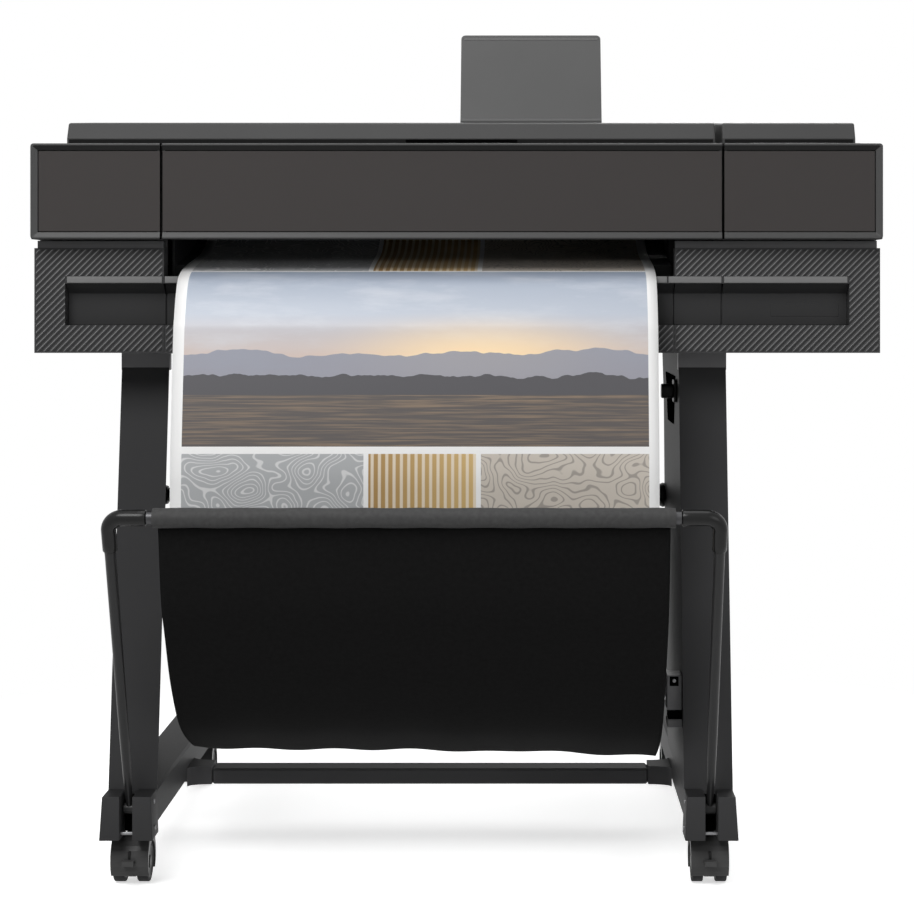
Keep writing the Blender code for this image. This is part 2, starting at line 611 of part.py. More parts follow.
def make_carriage_drive():
    rail_top = RAIL_BOTTOM + RAIL_HEIGHT
    rail_back = RAIL_FRONT + RAIL_DEPTH
    low = (INNER_LEFT, RAIL_FRONT, RAIL_BOTTOM)
    place("carriage_rail", box_mesh(low, (INNER_RIGHT, rail_back, rail_top)), "bright")
    left, right = CARRIAGE_PARK - CARRIAGE_WIDTH / 2, CARRIAGE_PARK + CARRIAGE_WIDTH / 2
    low = (left, RAIL_FRONT - GAP - CARRIAGE_DEPTH, CARRIAGE_BOTTOM)
    carriage = place("carriage", box_mesh(low, (right, RAIL_FRONT - GAP, CARRIAGE_TOP)), "plastic",
                     (CARRIAGE_PARK, RAIL_FRONT, rail_top))
    belt_outer = PULLEY_RADIUS + GAP + BELT_THICKNESS
    hook_low = (left + GAP, RAIL_FRONT - CARRIAGE_HOOK, rail_top + GAP)
    hook_high = (right - GAP, RAIL_FRONT + CARRIAGE_HOOK, BELT_HEIGHT - belt_outer - GAP)
    join(carriage, box_mesh(hook_low, hook_high))
    belt_back = BELT_FRONT + BELT_WIDTH
    for name, x in (("motor_pulley", MOTOR_PULLEY_X), ("idler_pulley", IDLER_PULLEY_X)):
        pulley = place(name, rod_mesh("Y", PULLEY_RADIUS, BELT_FRONT, belt_back, (x, BELT_HEIGHT)), "bright",
                       (x, BELT_FRONT, BELT_HEIGHT))
        cut(pulley, rod_mesh("Y", PULLEY_BORE, BELT_FRONT - GAP, belt_back + GAP, (x, BELT_HEIGHT)))
    loops = [belt_loop(PULLEY_RADIUS + GAP + extra) for extra in (BELT_THICKNESS, 0.0)]
    shift = Matrix.Translation((0.0, BELT_FRONT + BELT_WIDTH / 2, BELT_HEIGHT))
    turn = shift @ Matrix.Rotation(math.pi / 2, 4, "X")
    belt = place("carriage_belt", curve_mesh(flat_curve(loops[0], BELT_WIDTH), turn), "rubber")
    cut(belt, curve_mesh(flat_curve(loops[1], BELT_WIDTH + 0.002), turn))
    half = MOTOR_SIZE / 2
    front = belt_back + 2 * GAP
    low = (MOTOR_PULLEY_X - half, front, BELT_HEIGHT - half)
    high = (MOTOR_PULLEY_X + half, front + MOTOR_LENGTH, BELT_HEIGHT + half)
    motor = place("carriage_motor", box_mesh(low, high), "steel")
    join(motor, rod_mesh("Y", PULLEY_BORE - GAP, BELT_FRONT, front + GAP, (MOTOR_PULLEY_X, BELT_HEIGHT)))
    low = (EXIT_RIGHT + GAP, RAIL_FRONT - STATION_DEPTH, PAN_TOP + GAP)
    place("service_station", box_mesh(low, (INNER_RIGHT, RAIL_FRONT - GAP, CARRIAGE_BOTTOM - GAP)), "plastic")


def belt_loop(radius):
    """Two straight runs and two half circles round the pulleys."""
    ends = ((IDLER_PULLEY_X, -0.5), (MOTOR_PULLEY_X, 0.5))
    steps = SEGMENTS // 2
    turns = [(x, math.pi * (start + i / steps)) for x, start in ends for i in range(steps + 1)]
    return [(x + radius * math.cos(turn), radius * math.sin(turn)) for x, turn in turns]


def make_ink():
    low = (INK_LEFT, INK_FRONT, PAN_TOP + GAP)
    place("ink_station", box_mesh(low, (INK_RIGHT, INK_FRONT + INK_DEPTH, INK_STATION_TOP)), "plastic")
    pitch = INK_WIDTH / 4
    for i, colour in enumerate(("black", "cyan", "magenta", "yellow")):
        left = INK_LEFT + i * pitch + CARTRIDGE_MARGIN
        low = (left, INK_FRONT + CARTRIDGE_MARGIN, INK_STATION_TOP + GAP)
        high = (left + pitch - 2 * CARTRIDGE_MARGIN, INK_FRONT + INK_DEPTH - CARTRIDGE_MARGIN,
                INK_STATION_TOP + CARTRIDGE_HEIGHT)
        bevel(place("ink_cartridge_" + colour, box_mesh(low, high), colour), 0.003, 1)


def make_leg(side, x):
    """Folded sheet leg: a leaning front web, a deep plate on its left edge and a top flange."""
    left = x - LEG_WIDTH / 2
    plate = ((LEG_FOOT_FRONT, LEG_BOTTOM), (LEG_HEAD_FRONT, LEG_TOP), (LEG_HEAD_BACK, LEG_TOP),
             LEG_SHOULDER, LEG_KNEE, (LEG_FOOT_BACK, LEG_BOTTOM))
    leg = place(side + "_leg", side_mesh(plate, left, left + LEG_SHEET), "steel")
    cut(leg, side_mesh(LEG_WINDOW, left - LEG_SHEET, left + 2 * LEG_SHEET))
    web = ((LEG_FOOT_FRONT, LEG_BOTTOM), (LEG_HEAD_FRONT, LEG_TOP), (LEG_HEAD_FRONT + LEG_SHEET, LEG_TOP),
           (LEG_FOOT_FRONT + LEG_SHEET, LEG_BOTTOM))
    join(leg, side_mesh(web, left + LEG_SHEET / 2, x + LEG_WIDTH / 2))
    low = (left + LEG_SHEET / 2, LEG_HEAD_FRONT, LEG_TOP - LEG_SHEET)
    join(leg, box_mesh(low, (x + LEG_WIDTH / 2, LEG_HEAD_BACK - GAP, LEG_TOP)))


def make_foot(side, x):
    half = FOOT_WIDTH / 2
    beam = box_mesh((x - half, FOOT_FRONT, FOOT_BOTTOM), (x + half, REACH, FOOT_TOP))
    foot = place(side + "_foot", beam, "steel")
    bevel(foot, 0.003, 1)
    half = CAP_WIDTH / 2
    low = (x - half, CAP_FRONT, CAP_BOTTOM)
    cap = place(side + "_foot_cap", box_mesh(low, (x + half, FOOT_FRONT - GAP, CAP_TOP)), "plastic")
    bevel(cap, 0.004, 2)
    low = (x - CAP_SLOT / 2, CAP_FRONT - 0.01, CAP_BOTTOM - 0.01)
    cut(cap, box_mesh(low, (x + CAP_SLOT / 2, CAP_SLOT_BACK, CAP_TOP + 0.01)))


def make_brace():
    left = LEGS["left"] + FOOT_WIDTH / 2 + GAP
    right = LEGS["right"] - FOOT_WIDTH / 2 - GAP
    top = BRACE_BOTTOM + BRACE_HEIGHT
    low = (left + CORNER_LENGTH + GAP, BRACE_FRONT, BRACE_BOTTOM)
    high = (right - CORNER_LENGTH - GAP, BRACE_FRONT + BRACE_DEPTH, top)
    brace = place("cross_brace", box_mesh(low, high), "steel")
    bevel(brace, 0.003, 1)
    for name, start in (("left_brace_corner", left), ("right_brace_corner", right - CORNER_LENGTH)):
        low = (start, BRACE_FRONT - CORNER_FLARE, BRACE_BOTTOM)
        high = (start + CORNER_LENGTH, BRACE_FRONT + BRACE_DEPTH + CORNER_FLARE, top + CORNER_RISE)
        bevel(place(name, box_mesh(low, high), "steel"), 0.004, 1)


def make_caster(name, x, stem_y, braked):
    """Twin-wheel swivel caster: hood with stem, a wheel pair on one axle, and a brake pedal in front."""
    y = stem_y - CASTER_TRAIL
    half = HOOD_WIDTH / 2
    stem = (x, stem_y, HOOD_CENTRE)
    drum = rod_mesh("X", HOOD_RADIUS, x - half, x + half, (y, HOOD_CENTRE))
    hood = place(name + "_hood", drum, "plastic", stem)
    flat_down = math.pi / SEGMENTS
    axle = (y, WHEEL_RADIUS * math.cos(flat_down))
    for start, end in ((-half - GAP, GAP - WHEEL_INNER), (WHEEL_INNER - GAP, half + GAP)):
        cut(hood, rod_mesh("X", WHEEL_RADIUS + WHEEL_ROOM, x + start, x + end, axle))
    cut(hood, box_mesh((x - half - 0.01, y - 0.05, -0.01), (x + half + 0.01, y + 0.05, HOOD_BOTTOM)))
    cut(hood, rod_mesh("X", AXLE_RADIUS + GAP, x - half, x + half, axle, 16))
    join(hood, rod_mesh("Z", STEM_RADIUS, HOOD_CENTRE + WHEEL_RADIUS, FOOT_BOTTOM - GAP, (x, stem_y), 20))
    near, far = WHEEL_INNER, WHEEL_INNER + WHEEL_WIDTH
    wheel = rod_mesh("X", WHEEL_RADIUS, x + near, x + far, axle, turn=flat_down)
    wheels = place(name + "_wheels", wheel, "rubber", (x, *axle))
    join(wheels, rod_mesh("X", WHEEL_RADIUS, x - far, x - near, axle, turn=flat_down))
    join(wheels, rod_mesh("X", AXLE_RADIUS, x - WHEEL_INNER - GAP, x + WHEEL_INNER + GAP, axle, 16))
    if braked:
        wide, deep, high = PEDAL_SIZE
        back = y - HOOD_RADIUS - GAP
        low = (x - wide / 2, back - deep, PEDAL_BOTTOM)
        place(name + "_brake_pedal", box_mesh(low, (x + wide / 2, back, PEDAL_BOTTOM + high)), "plastic",
              (x, back, PEDAL_BOTTOM))


def make_bin_arm(side, x, inward):
    """Rod from the pivot in the foot cap up to the elbow that turns into the front bar."""
    bar = Vector((x, *BAR))
    down = (Vector((x, *PIVOT)) - bar).normalized()
    across = Vector((inward, 0.0, 0.0))
    centre = bar + (across + down) * ELBOW_BEND
    turns = [i * math.pi / 12 for i in range(7)]
    arc = [centre - down * ELBOW_BEND * math.cos(a) - across * ELBOW_BEND * math.sin(a) for a in turns]
    path = [bar + across * BAR_END_GAP, *arc, bar + down * ELBOW_DROP]
    place(side + "_bin_elbow", tube_mesh(path, ELBOW_RADIUS), "plastic", (x, *PIVOT))
    pivot = Vector((x, *PIVOT))
    shank = tube_mesh([bar + down * (ELBOW_DROP + GAP), pivot], ROD_RADIUS)
    rod = place(side + "_bin_rod", shank, "steel", pivot)
    half = CAP_SLOT / 2 - GAP
    join(rod, rod_mesh("X", ROD_HUB, x - half, x + half, PIVOT, 20))


def toward(start, goal, distance):
    start, goal = Vector(start), Vector(goal)
    return tuple(start + (goal - start).normalized() * distance)


def make_bin():
    left, right = LEGS["left"] + BAR_END_GAP, LEGS["right"] - BAR_END_GAP
    for side, inward in (("left", 1.0), ("right", -1.0)):
        make_bin_arm(side, LEGS[side], inward)
    pivot = (STAND_CENTRE, *PIVOT)
    place("bin_bar", rod_mesh("X", BAR_RADIUS, left + GAP, right - GAP, BAR), "steel", pivot)
    left, right = left + SLEEVE_MARGIN, right - SLEEVE_MARGIN
    sleeve = place("bin_sleeve", rod_mesh("X", SLEEVE_RADIUS, left, right, BAR), "fabric", pivot)
    cut(sleeve, rod_mesh("X", BAR_RADIUS + GAP, left - GAP, right + GAP, BAR))
    tube_left = LEGS["left"] - LEG_WIDTH / 2 + LEG_SHEET + GAP
    tube_right = LEGS["right"] - LEG_WIDTH / 2 - GAP
    place("bin_rear_tube", rod_mesh("X", REAR_TUBE_RADIUS, tube_left, tube_right, REAR_TUBE), "steel")
    make_sling(left + SLING_MARGIN, right - SLING_MARGIN)


def make_sling(left, right):
    """Hanging cloth from the front sleeve to the rear tube, with shallow folds along its low part."""
    front = toward(BAR, SLING[0], SLEEVE_RADIUS + GAP)
    back = toward(REAR_TUBE, SLING[-1], REAR_TUBE_RADIUS + GAP)
    path = [front, *SLING, back]
    columns = 8 * SLING_FOLDS
    bm = bmesh.new()
    bmesh.ops.create_grid(bm, x_segments=columns, y_segments=len(path) - 1, size=0.5)
    for vert in bm.verts:
        across = vert.co.x + 0.5
        row = round((vert.co.y + 0.5) * (len(path) - 1))
        share = row / (len(path) - 1)
        wave = 0.5 - 0.5 * math.cos(2 * math.pi * SLING_FOLDS * across)
        fold = SLING_FOLD * math.sin(math.pi * share) ** 2 * wave
        y, z = path[row]
        vert.co = (left + (right - left) * across, y, z - fold)
    sling = place("bin_sling", mesh_from(bm, "sling"), "fabric")
    wall = sling.modifiers.new("cloth", "SOLIDIFY")
    wall.thickness = SLING_THICKNESS
    wall.offset = 0.0


def main():
    make_chassis()
    make_covers()
    make_lower_front()
    make_lid("roll_cover", HUMP_LEFT, HUMP_SPLIT - HUMP_SPLIT_GAP / 2)
    make_lid("ink_lid", HUMP_SPLIT + HUMP_SPLIT_GAP / 2, HUMP_RIGHT)
    make_tray()
    make_controls()
    make_paper_path()
    make_carriage_drive()
    make_ink()
    for side, x in LEGS.items():
        make_leg(side, x)
        make_foot(side, x)
        make_caster("front_" + side + "_caster", x, CASTER_FRONT, True)
        make_caster("rear_" + side + "_caster", x, CASTER_BACK, False)
    make_brace()
    make_bin()


main()
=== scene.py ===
"""Looks of a large format plotter on a wheeled stand: surfaces, finishes, studio and camera."""
import math

import bmesh
import bpy
import numpy as np

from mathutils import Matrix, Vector


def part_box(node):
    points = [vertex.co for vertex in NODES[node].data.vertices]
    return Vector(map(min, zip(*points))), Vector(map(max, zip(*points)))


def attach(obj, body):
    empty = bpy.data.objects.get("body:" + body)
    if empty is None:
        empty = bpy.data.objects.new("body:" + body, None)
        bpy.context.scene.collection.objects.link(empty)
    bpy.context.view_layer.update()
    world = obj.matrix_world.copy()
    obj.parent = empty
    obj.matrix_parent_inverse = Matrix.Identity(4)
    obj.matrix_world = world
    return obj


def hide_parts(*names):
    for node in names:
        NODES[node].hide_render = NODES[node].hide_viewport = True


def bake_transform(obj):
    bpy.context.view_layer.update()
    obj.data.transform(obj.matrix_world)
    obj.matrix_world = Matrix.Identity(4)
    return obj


bl_info = {
    "name": "Large format plotter",
    "version": (1, 0, 0),
    "blender": (4, 5, 0),
    "location": "3D View > Sidebar > Plotter",
    "description": "Dresses the plotter's frame with its surfaces and finishes",
    "category": "Object",
}

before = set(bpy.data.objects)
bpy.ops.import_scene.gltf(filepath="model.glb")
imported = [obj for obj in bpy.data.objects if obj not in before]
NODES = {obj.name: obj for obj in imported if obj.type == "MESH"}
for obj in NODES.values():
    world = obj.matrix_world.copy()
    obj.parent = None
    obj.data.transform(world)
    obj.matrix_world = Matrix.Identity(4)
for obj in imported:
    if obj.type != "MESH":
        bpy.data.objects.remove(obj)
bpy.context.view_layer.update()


def box(node):
    """Lowest and highest corner of a frame node as arrays."""
    low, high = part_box(node)
    return np.array(low), np.array(high)


# Shapes: grids of points worked out as whole arrays

def surface(name, grid, wrap=False, caps=(False, False), ring=False, uv=False, keep=None):
    """Mesh of a grid of points p(i, j); wrap joins the last column to the first, ring the last row to
    the first, caps close the end rows, and keep drops the cells that are False."""
    rows, cols = grid.shape[:2]
    index = np.arange(rows * cols).reshape(rows, cols)
    across = np.concatenate([index, index[:, :1]], axis=1) if wrap else index
    across = np.concatenate([across, across[:1]]) if ring else across
    quads = np.stack([across[:-1, :-1], across[:-1, 1:], across[1:, 1:], across[1:, :-1]], axis=-1)
    quads = quads.reshape(-1, 4) if keep is None else quads[keep]
    faces = quads.tolist()
    if caps[0]:
        faces.append(index[0, ::-1].tolist())
    if caps[1]:
        faces.append(index[-1].tolist())
    mesh = bpy.data.meshes.new(name)
    mesh.from_pydata(grid.reshape(-1, 3).tolist(), [], faces)
    if uv:
        lay_uv(mesh, rows, cols)
    return finish_mesh(name, mesh)


def lay_uv(mesh, rows, cols):
    """Map in which u runs 0 to 1 across the columns and v along the rows."""
    v, u = np.divmod(np.arange(rows * cols), cols)
    points = np.stack([u / (cols - 1), v / (rows - 1)], axis=1)
    corner = np.zeros(len(mesh.loops), dtype=np.int32)
    mesh.loops.foreach_get("vertex_index", corner)
    layer = mesh.uv_layers.new(name="UVMap")
    layer.data.foreach_set("uv", points[corner].astype(np.float32).ravel())


def finish_mesh(name, mesh):
    """Object of a mesh, shaded smooth up to a crease of 35 degrees."""
    mesh.validate()
    mesh.shade_smooth()
    mesh.set_sharp_from_angle(angle=math.radians(35))
    item = bpy.data.objects.new(name, mesh)
    bpy.context.scene.collection.objects.link(item)
    return item


def arc(start, end, steps):
    """Evenly spaced angles from start to end, given in degrees."""
    return np.linspace(math.radians(start), math.radians(end), steps)


AXES = {"X": (1, 2, 0), "Y": (2, 0, 1), "Z": (0, 1, 2)}
CORNER_STEPS = 5


def rounded_rect(width, height, radius):
    """Closed outline: four quarter circles of one radius joined by straight sides, anticlockwise."""
    turn = np.concatenate([arc(a, a + 90, CORNER_STEPS) for a in (0, 90, 180, 270)])
    corner = np.repeat(np.array([[1, 1], [-1, 1], [-1, -1], [1, -1]]), CORNER_STEPS, axis=0)
    middle = corner * (np.array([width, height]) / 2 - radius)
    return middle + radius * np.stack([np.cos(turn), np.sin(turn)], axis=1)


def loft(name, centre, axis, rows):
    """Rounded rectangles (offset, width, height, radius) stacked along an axis, each a row of the grid."""
    first, second, along = AXES[axis]
    grid = np.zeros((len(rows), 4 * CORNER_STEPS, 3))
    for row, (offset, width, height, radius) in zip(grid, rows):
        row[:, first], row[:, second] = rounded_rect(width, height, radius).T
        row[:, along] = offset
    return recalc(surface(name, grid + np.asarray(centre), wrap=True, caps=(True, True)))


def block(name, low, high, radius, axis="Z", corner=None):
    """Box whose edges are rounded: the ends draw in along a quarter circle of the edge radius."""
    low, high = np.asarray(low, float), np.asarray(high, float)
    width, height, length = (high - low)[list(AXES[axis])]
    corner = radius * 1.4 if corner is None else corner
    turn = arc(0, 90, 4)
    ends = [(-length / 2 + radius * (1 - math.sin(a)), radius * (1 - math.cos(a))) for a in turn[::-1]]
    flat = radius + min(0.0008, 0.3 * (min(width, height) / 2 - radius))
    ends.insert(0, (-length / 2, flat))
    ends += [(-offset, inset) for offset, inset in reversed(ends)]
    rows = []
    for offset, inset in ends:
        rows.append((offset, width - 2 * inset, height - 2 * inset, max(corner - inset, 0.0002)))
    return loft(name, (low + high) / 2, axis, rows)


def turned(name, profile, centre, axis="X", sides=40, closed=False):
    """Profile of (offset, radius) points spun about an axis through the centre; a closed one has no caps."""
    profile = np.asarray(profile, float)
    turn = np.linspace(0, 2 * math.pi, sides, endpoint=False)
    first, second, along = AXES[axis]
    grid = np.zeros((len(profile), sides, 3))
    grid[..., first] = profile[:, 1:2] * np.cos(turn)
    grid[..., second] = profile[:, 1:2] * np.sin(turn)
    grid[..., along] = profile[:, :1]
    ends = (not closed, not closed)
    return surface(name, grid + np.asarray(centre), wrap=True, caps=ends, ring=closed)


def ring_turned(name, profile, centre, axis="X"):
    """Closed profile of (offset, radius) points spun into a ring about an axis."""
    return recalc(turned(name, profile, centre, axis, closed=True))


def smooth_path(points, per_span):
    """Spline: each span is a cubic through its ends whose slopes there point along the neighbours."""
    points = np.asarray(points, float)
    padded = np.concatenate([2 * points[:1] - points[1:2], points, 2 * points[-1:] - points[-2:-1]])
    t = np.linspace(0, 1, per_span, endpoint=False)[:, None]
    spans = []
    for a, b, c, d in zip(padded[:-3], padded[1:-2], padded[2:-1], padded[3:]):
        square = (2 * a - 5 * b + 4 * c - d) * t ** 2
        cube = (3 * b - a - 3 * c + d) * t ** 3
        spans.append(0.5 * (2 * b + (c - a) * t + square + cube))
    return np.concatenate([*spans, points[-1:]])


def tube(name, path, radius, sides=20):
    """Circle carried along a path; the radius may change from point to point, and the ends are capped."""
    path = np.asarray(path, float)
    radius = np.broadcast_to(radius, len(path))
    along = np.gradient(path, axis=0)
    along /= np.linalg.norm(along, axis=1, keepdims=True)
    plane = np.linalg.svd(path - path.mean(0))[2][2]
    side = np.cross(along, plane)
    side /= np.linalg.norm(side, axis=1, keepdims=True)
    up = np.cross(along, side)
    turn = np.linspace(0, 2 * math.pi, sides, endpoint=False)[None, :, None]
    ring = np.cos(turn) * side[:, None] + np.sin(turn) * up[:, None]
    return surface(name, path[:, None] + ring * radius[:, None, None], wrap=True, caps=(True, True))


def extrude_x(name, outline, left, right, edge=0.0008):
    """Closed outline in Y and Z carried along X, with its ends drawn in by a small edge."""
    outline = np.asarray(outline, float)
    inward = outline.mean(0) - outline
    inward /= np.linalg.norm(inward, axis=1, keepdims=True)
    stations = ((left, edge), (left + edge, 0.0), (right - edge, 0.0), (right, edge))
    grid = np.zeros((4, len(outline), 3))
    for row, (x, inset) in zip(grid, stations):
        row[:, 0] = x
        row[:, 1:] = outline + inward * inset
    return surface(name, grid, wrap=True, caps=(True, True))


def recalc(item):
    """Faces of a closed piece turned outwards."""
    bm = bmesh.new()
    bm.from_mesh(item.data)
    bmesh.ops.recalc_face_normals(bm, faces=bm.faces)
    bm.to_mesh(item.data)
    bm.free()
    return item


# Finishes: shader maths written as Python expressions

class Value:
    """A shader number; arithmetic on it adds Math nodes."""

    def __init__(self, look, socket):
        self.look = look
        self.socket = socket

    def maths(self, operation, first, second=0.0):
        return self.look.node("ShaderNodeMath", {"operation": operation}, {0: first, 1: second})

    def __add__(self, other):
        return self.maths("ADD", self, other)

    __radd__ = __add__

    def __sub__(self, other):
        return self.maths("SUBTRACT", self, other)

    def __rsub__(self, other):
        return self.maths("SUBTRACT", other, self)

    def __mul__(self, other):
        return self.maths("MULTIPLY", self, other)

    __rmul__ = __mul__

    def __gt__(self, other):
        return self.maths("GREATER_THAN", self, other)

    def __lt__(self, other):
        return self.maths("LESS_THAN", self, other)

    def sine(self):
        return self.maths("SINE", self)

    def power(self, other):
        return self.maths("POWER", self, other)

    def clamp(self):
        return self.maths("MINIMUM", self.maths("MAXIMUM", self, 0.0), 1.0)


class Nodes:
    """A node tree that is filled node by node."""

    def __init__(self, tree):
        self.tree = tree

    def feed(self, socket, value):
        """Links a Value to a socket, or sets a plain number or colour on it."""
        if isinstance(value, Value):
            self.tree.links.new(value.socket, socket)
        elif socket.type == "RGBA":
            socket.default_value = (*value[:3], 1.0)
        else:
            socket.default_value = value

    def node(self, kind, settings=None, inputs=None, output=0):
        """New node: settings first, with a ramp's stops, then the values or links of its sockets."""
        item = self.tree.nodes.new(kind)
        for key, value in (settings or {}).items():
            if key == "stops":
                ramp = item.color_ramp.elements
                while len(ramp) < len(value):
                    ramp.new(1.0)
                for element, (place, colour) in zip(ramp, value):
                    element.position = place
                    element.color = (*colour, 1.0)
            else:
                setattr(item, key, value)
        for key, value in (inputs or {}).items():
            self.feed(item.inputs[key], value)
        return Value(self, item.outputs[output])

    def rays(self, *kinds):
        """One on a light path of any of these kinds, nought on the rest."""
        outputs = self.node("ShaderNodeLightPath").socket.node.outputs
        flags = [Value(self, outputs[kind]) for kind in kinds]
        return sum(flags[1:], flags[0]).clamp()


class Look(Nodes):
    """A Principled material built node by node."""

    def __init__(self, name, roughness=0.5, metallic=0.0, gloss=0.14):
        self.material = bpy.data.materials.new(name)
        self.material.use_nodes = True
        super().__init__(self.material.node_tree)
        self.shader = self.tree.nodes["Principled BSDF"]
        self.shader.inputs["Roughness"].default_value = roughness
        self.shader.inputs["Metallic"].default_value = metallic
        self.shader.inputs["Specular IOR Level"].default_value = gloss

    def out(self, socket, value):
        """Sets or links a socket of the shader."""
        self.feed(self.shader.inputs[socket], value)

    def base(self, share, colour, low, high):
        """Base colour that goes from low to high times a colour as the share goes from 0 to 1."""
        self.out("Base Color", self.mix(share, shade(colour, low), shade(colour, high)))

    def place(self):
        """Object coordinates."""
        return self.node("ShaderNodeTexCoord", output=3)

    def map(self):
        """The piece's own u and v as two numbers."""
        uv = self.node("ShaderNodeTexCoord", output=2)
        split = self.node("ShaderNodeSeparateXYZ", None, {0: uv})
        return split, Value(self, split.socket.node.outputs[1])

    def noise(self, where, scale, detail=2.0, roughness=0.5):
        inputs = {"Vector": where, "Scale": scale, "Detail": detail, "Roughness": roughness}
        return self.node("ShaderNodeTexNoise", None, inputs)

    def mix(self, share, first, second):
        """Colour that goes from first to second as the share goes from 0 to 1."""
        settings = {"data_type": "RGBA", "clamp_factor": True}
        return self.node("ShaderNodeMix", settings, {0: share, 6: first, 7: second}, output=2)

    def ramp(self, share, *stops):
        return self.node("ShaderNodeValToRGB", {"stops": stops}, {0: share})

    def point(self, x, y, z=0.0):
        return self.node("ShaderNodeCombineXYZ", None, {0: x, 1: y, 2: z})

    def bump(self, height, distance, strength=1.0):
        inputs = {"Height": height, "Distance": distance, "Strength": strength}
        self.out("Normal", self.node("ShaderNodeBump", None, inputs))


def shade(colour, factor):
    """Colour made darker or lighter by a factor."""
    return tuple(min(1.0, part * factor) for part in colour)


def moulded(name, colour, roughness=0.5, grain=0.00006, pitch=0.0009, cloud=0.10, gloss=0.14):
    """Moulded plastic: a fine spark-eroded grain, faint clouds in the colour and in the gloss."""
    look = Look(name, roughness, gloss=gloss)
    where = look.place()
    clouds = look.noise(where, 7.0, 3.0)
    look.base(clouds, colour, 1 - cloud, 1 + cloud)
    fine = look.noise(where, 1.0 / pitch, 2.0)
    look.out("Roughness", (clouds - 0.5) * 0.12 + (fine - 0.5) * 0.10 + roughness)
    look.bump(fine, grain, 0.6)
    return look.material


def coated(name, colour, roughness=0.45, pitch=0.0016):
    """Powder-coated sheet steel: orange-peel bump and slow drifts of gloss."""
    look = Look(name, roughness, gloss=0.18)
    where = look.place()
    drift = look.noise(where, 4.0, 2.0)
    peel = look.noise(where, 1.0 / pitch, 3.0, 0.6)
    look.base(drift, colour, 0.92, 1.08)
    look.out("Roughness", (peel - 0.5) * 0.16 + (drift - 0.5) * 0.10 + roughness)
    look.bump(peel, 0.00008, 0.5)
    return look.material


def facing_shade_coat(name, colour, dark, axis, roughness=0.5, gloss=0.02, upward=1.0, limit=0.92):
    """Satin coat with painted shade: a darker tone on the faces that look along X, or on those that look up
    or down, stands in for the shade that falls on them.
    """
    look = Look(name, roughness, gloss=gloss)
    where = look.place()
    facing = look.node("ShaderNodeNewGeometry", None, None, "True Normal")
    turned_to = look.node("ShaderNodeSeparateXYZ", None, {0: facing}, axis)
    # painted shade: the faces picked by their facing get the darker tone
    shade_mask = (turned_to * turned_to) > 0.7 if axis == "X" else (turned_to * upward) > limit
    peel = look.noise(where, 620.0, 3.0, 0.6)
    drift = look.noise(where, 4.0, 2.0)
    plain = look.mix(drift, shade(colour, 0.92), shade(colour, 1.08))
    look.out("Base Color", look.mix(shade_mask, plain, dark))
    look.out("Roughness", (peel - 0.5) * 0.16 + roughness)
    look.bump(peel, 0.00008, 0.5)
    return look.material


def brushed(name, colour, roughness=0.32):
    """Satin aluminium: fine lines drawn out along X."""
    look = Look(name, roughness, 1.0)
    stretch = look.node("ShaderNodeMapping", None, {"Vector": look.place(), "Scale": (6.0, 900.0, 900.0)})
    lines = look.noise(stretch, 1.0, 3.0)
    look.base(lines, colour, 0.86, 1.08)
    look.out("Roughness", (lines - 0.5) * 0.25 + roughness)
    look.bump(lines, 0.00003, 0.4)
    return look.material


def rubbery(name, colour):
    """Rubber and soft tread: matte with a dusty speckle."""
    look = Look(name, 0.75)
    where = look.place()
    dust = look.noise(where, 260.0, 4.0, 0.7)
    look.base(dust, colour, 0.8, 1.35)
    look.out("Roughness", (dust - 0.5) * 0.25 + 0.72)
    look.bump(dust, 0.00012, 0.5)
    return look.material


def woven(name, colour, across, along, pitch, roughness=0.86, gloss=0.04):
    """Plain weave on the piece's own map: warp and weft threads pass over each other in turn."""
    look = Look(name, roughness, gloss=gloss)
    u, v = look.map()
    warp = (u * (2 * math.pi * across / pitch)).sine()
    weft = (v * (2 * math.pi * along / pitch)).sine()
    check = warp * weft
    slub = look.noise(look.point(u * across, v * along), 160.0, 3.0, 0.65)
    tone = (check * 0.22 + slub).clamp()
    look.base(tone, colour, 0.65, 1.45)
    look.out("Roughness", roughness + check * 0.06)
    look.bump(check * 0.5 + slub * 0.6, 0.00022, 0.7)
    return look.material


def glossy(name, colour, roughness=0.12):
    """Hard gloss with a faint haze of fingerprints."""
    look = Look(name, roughness)
    look.shader.inputs["Coat Weight"].default_value = 0.3
    haze = look.noise(look.place(), 35.0, 4.0, 0.6)
    look.base(haze, colour, 0.85, 1.2)
    look.out("Roughness", haze * 0.16 + roughness)
    return look.material


def plain_paper(name, colour):
    """Paper wound on its roll: fibre speckle."""
    look = Look(name, 0.8)
    fibre = look.noise(look.place(), 900.0, 3.0)
    look.base(fibre, colour, 0.95, 1.04)
    look.bump(fibre, 0.00004, 0.4)
    return look.material


def band(value, low, high):
    """One between two limits, nought outside them."""
    return (value > low) * (value < high)


def hills(look, u, depth, level, swing, pitch, seed):
    """One below a ridge line whose height wanders along u."""
    line = look.noise(look.point(u * pitch, seed), 1.0, 4.0, 0.55)
    return (depth - (line - 0.5) * swing - level) > 0.0


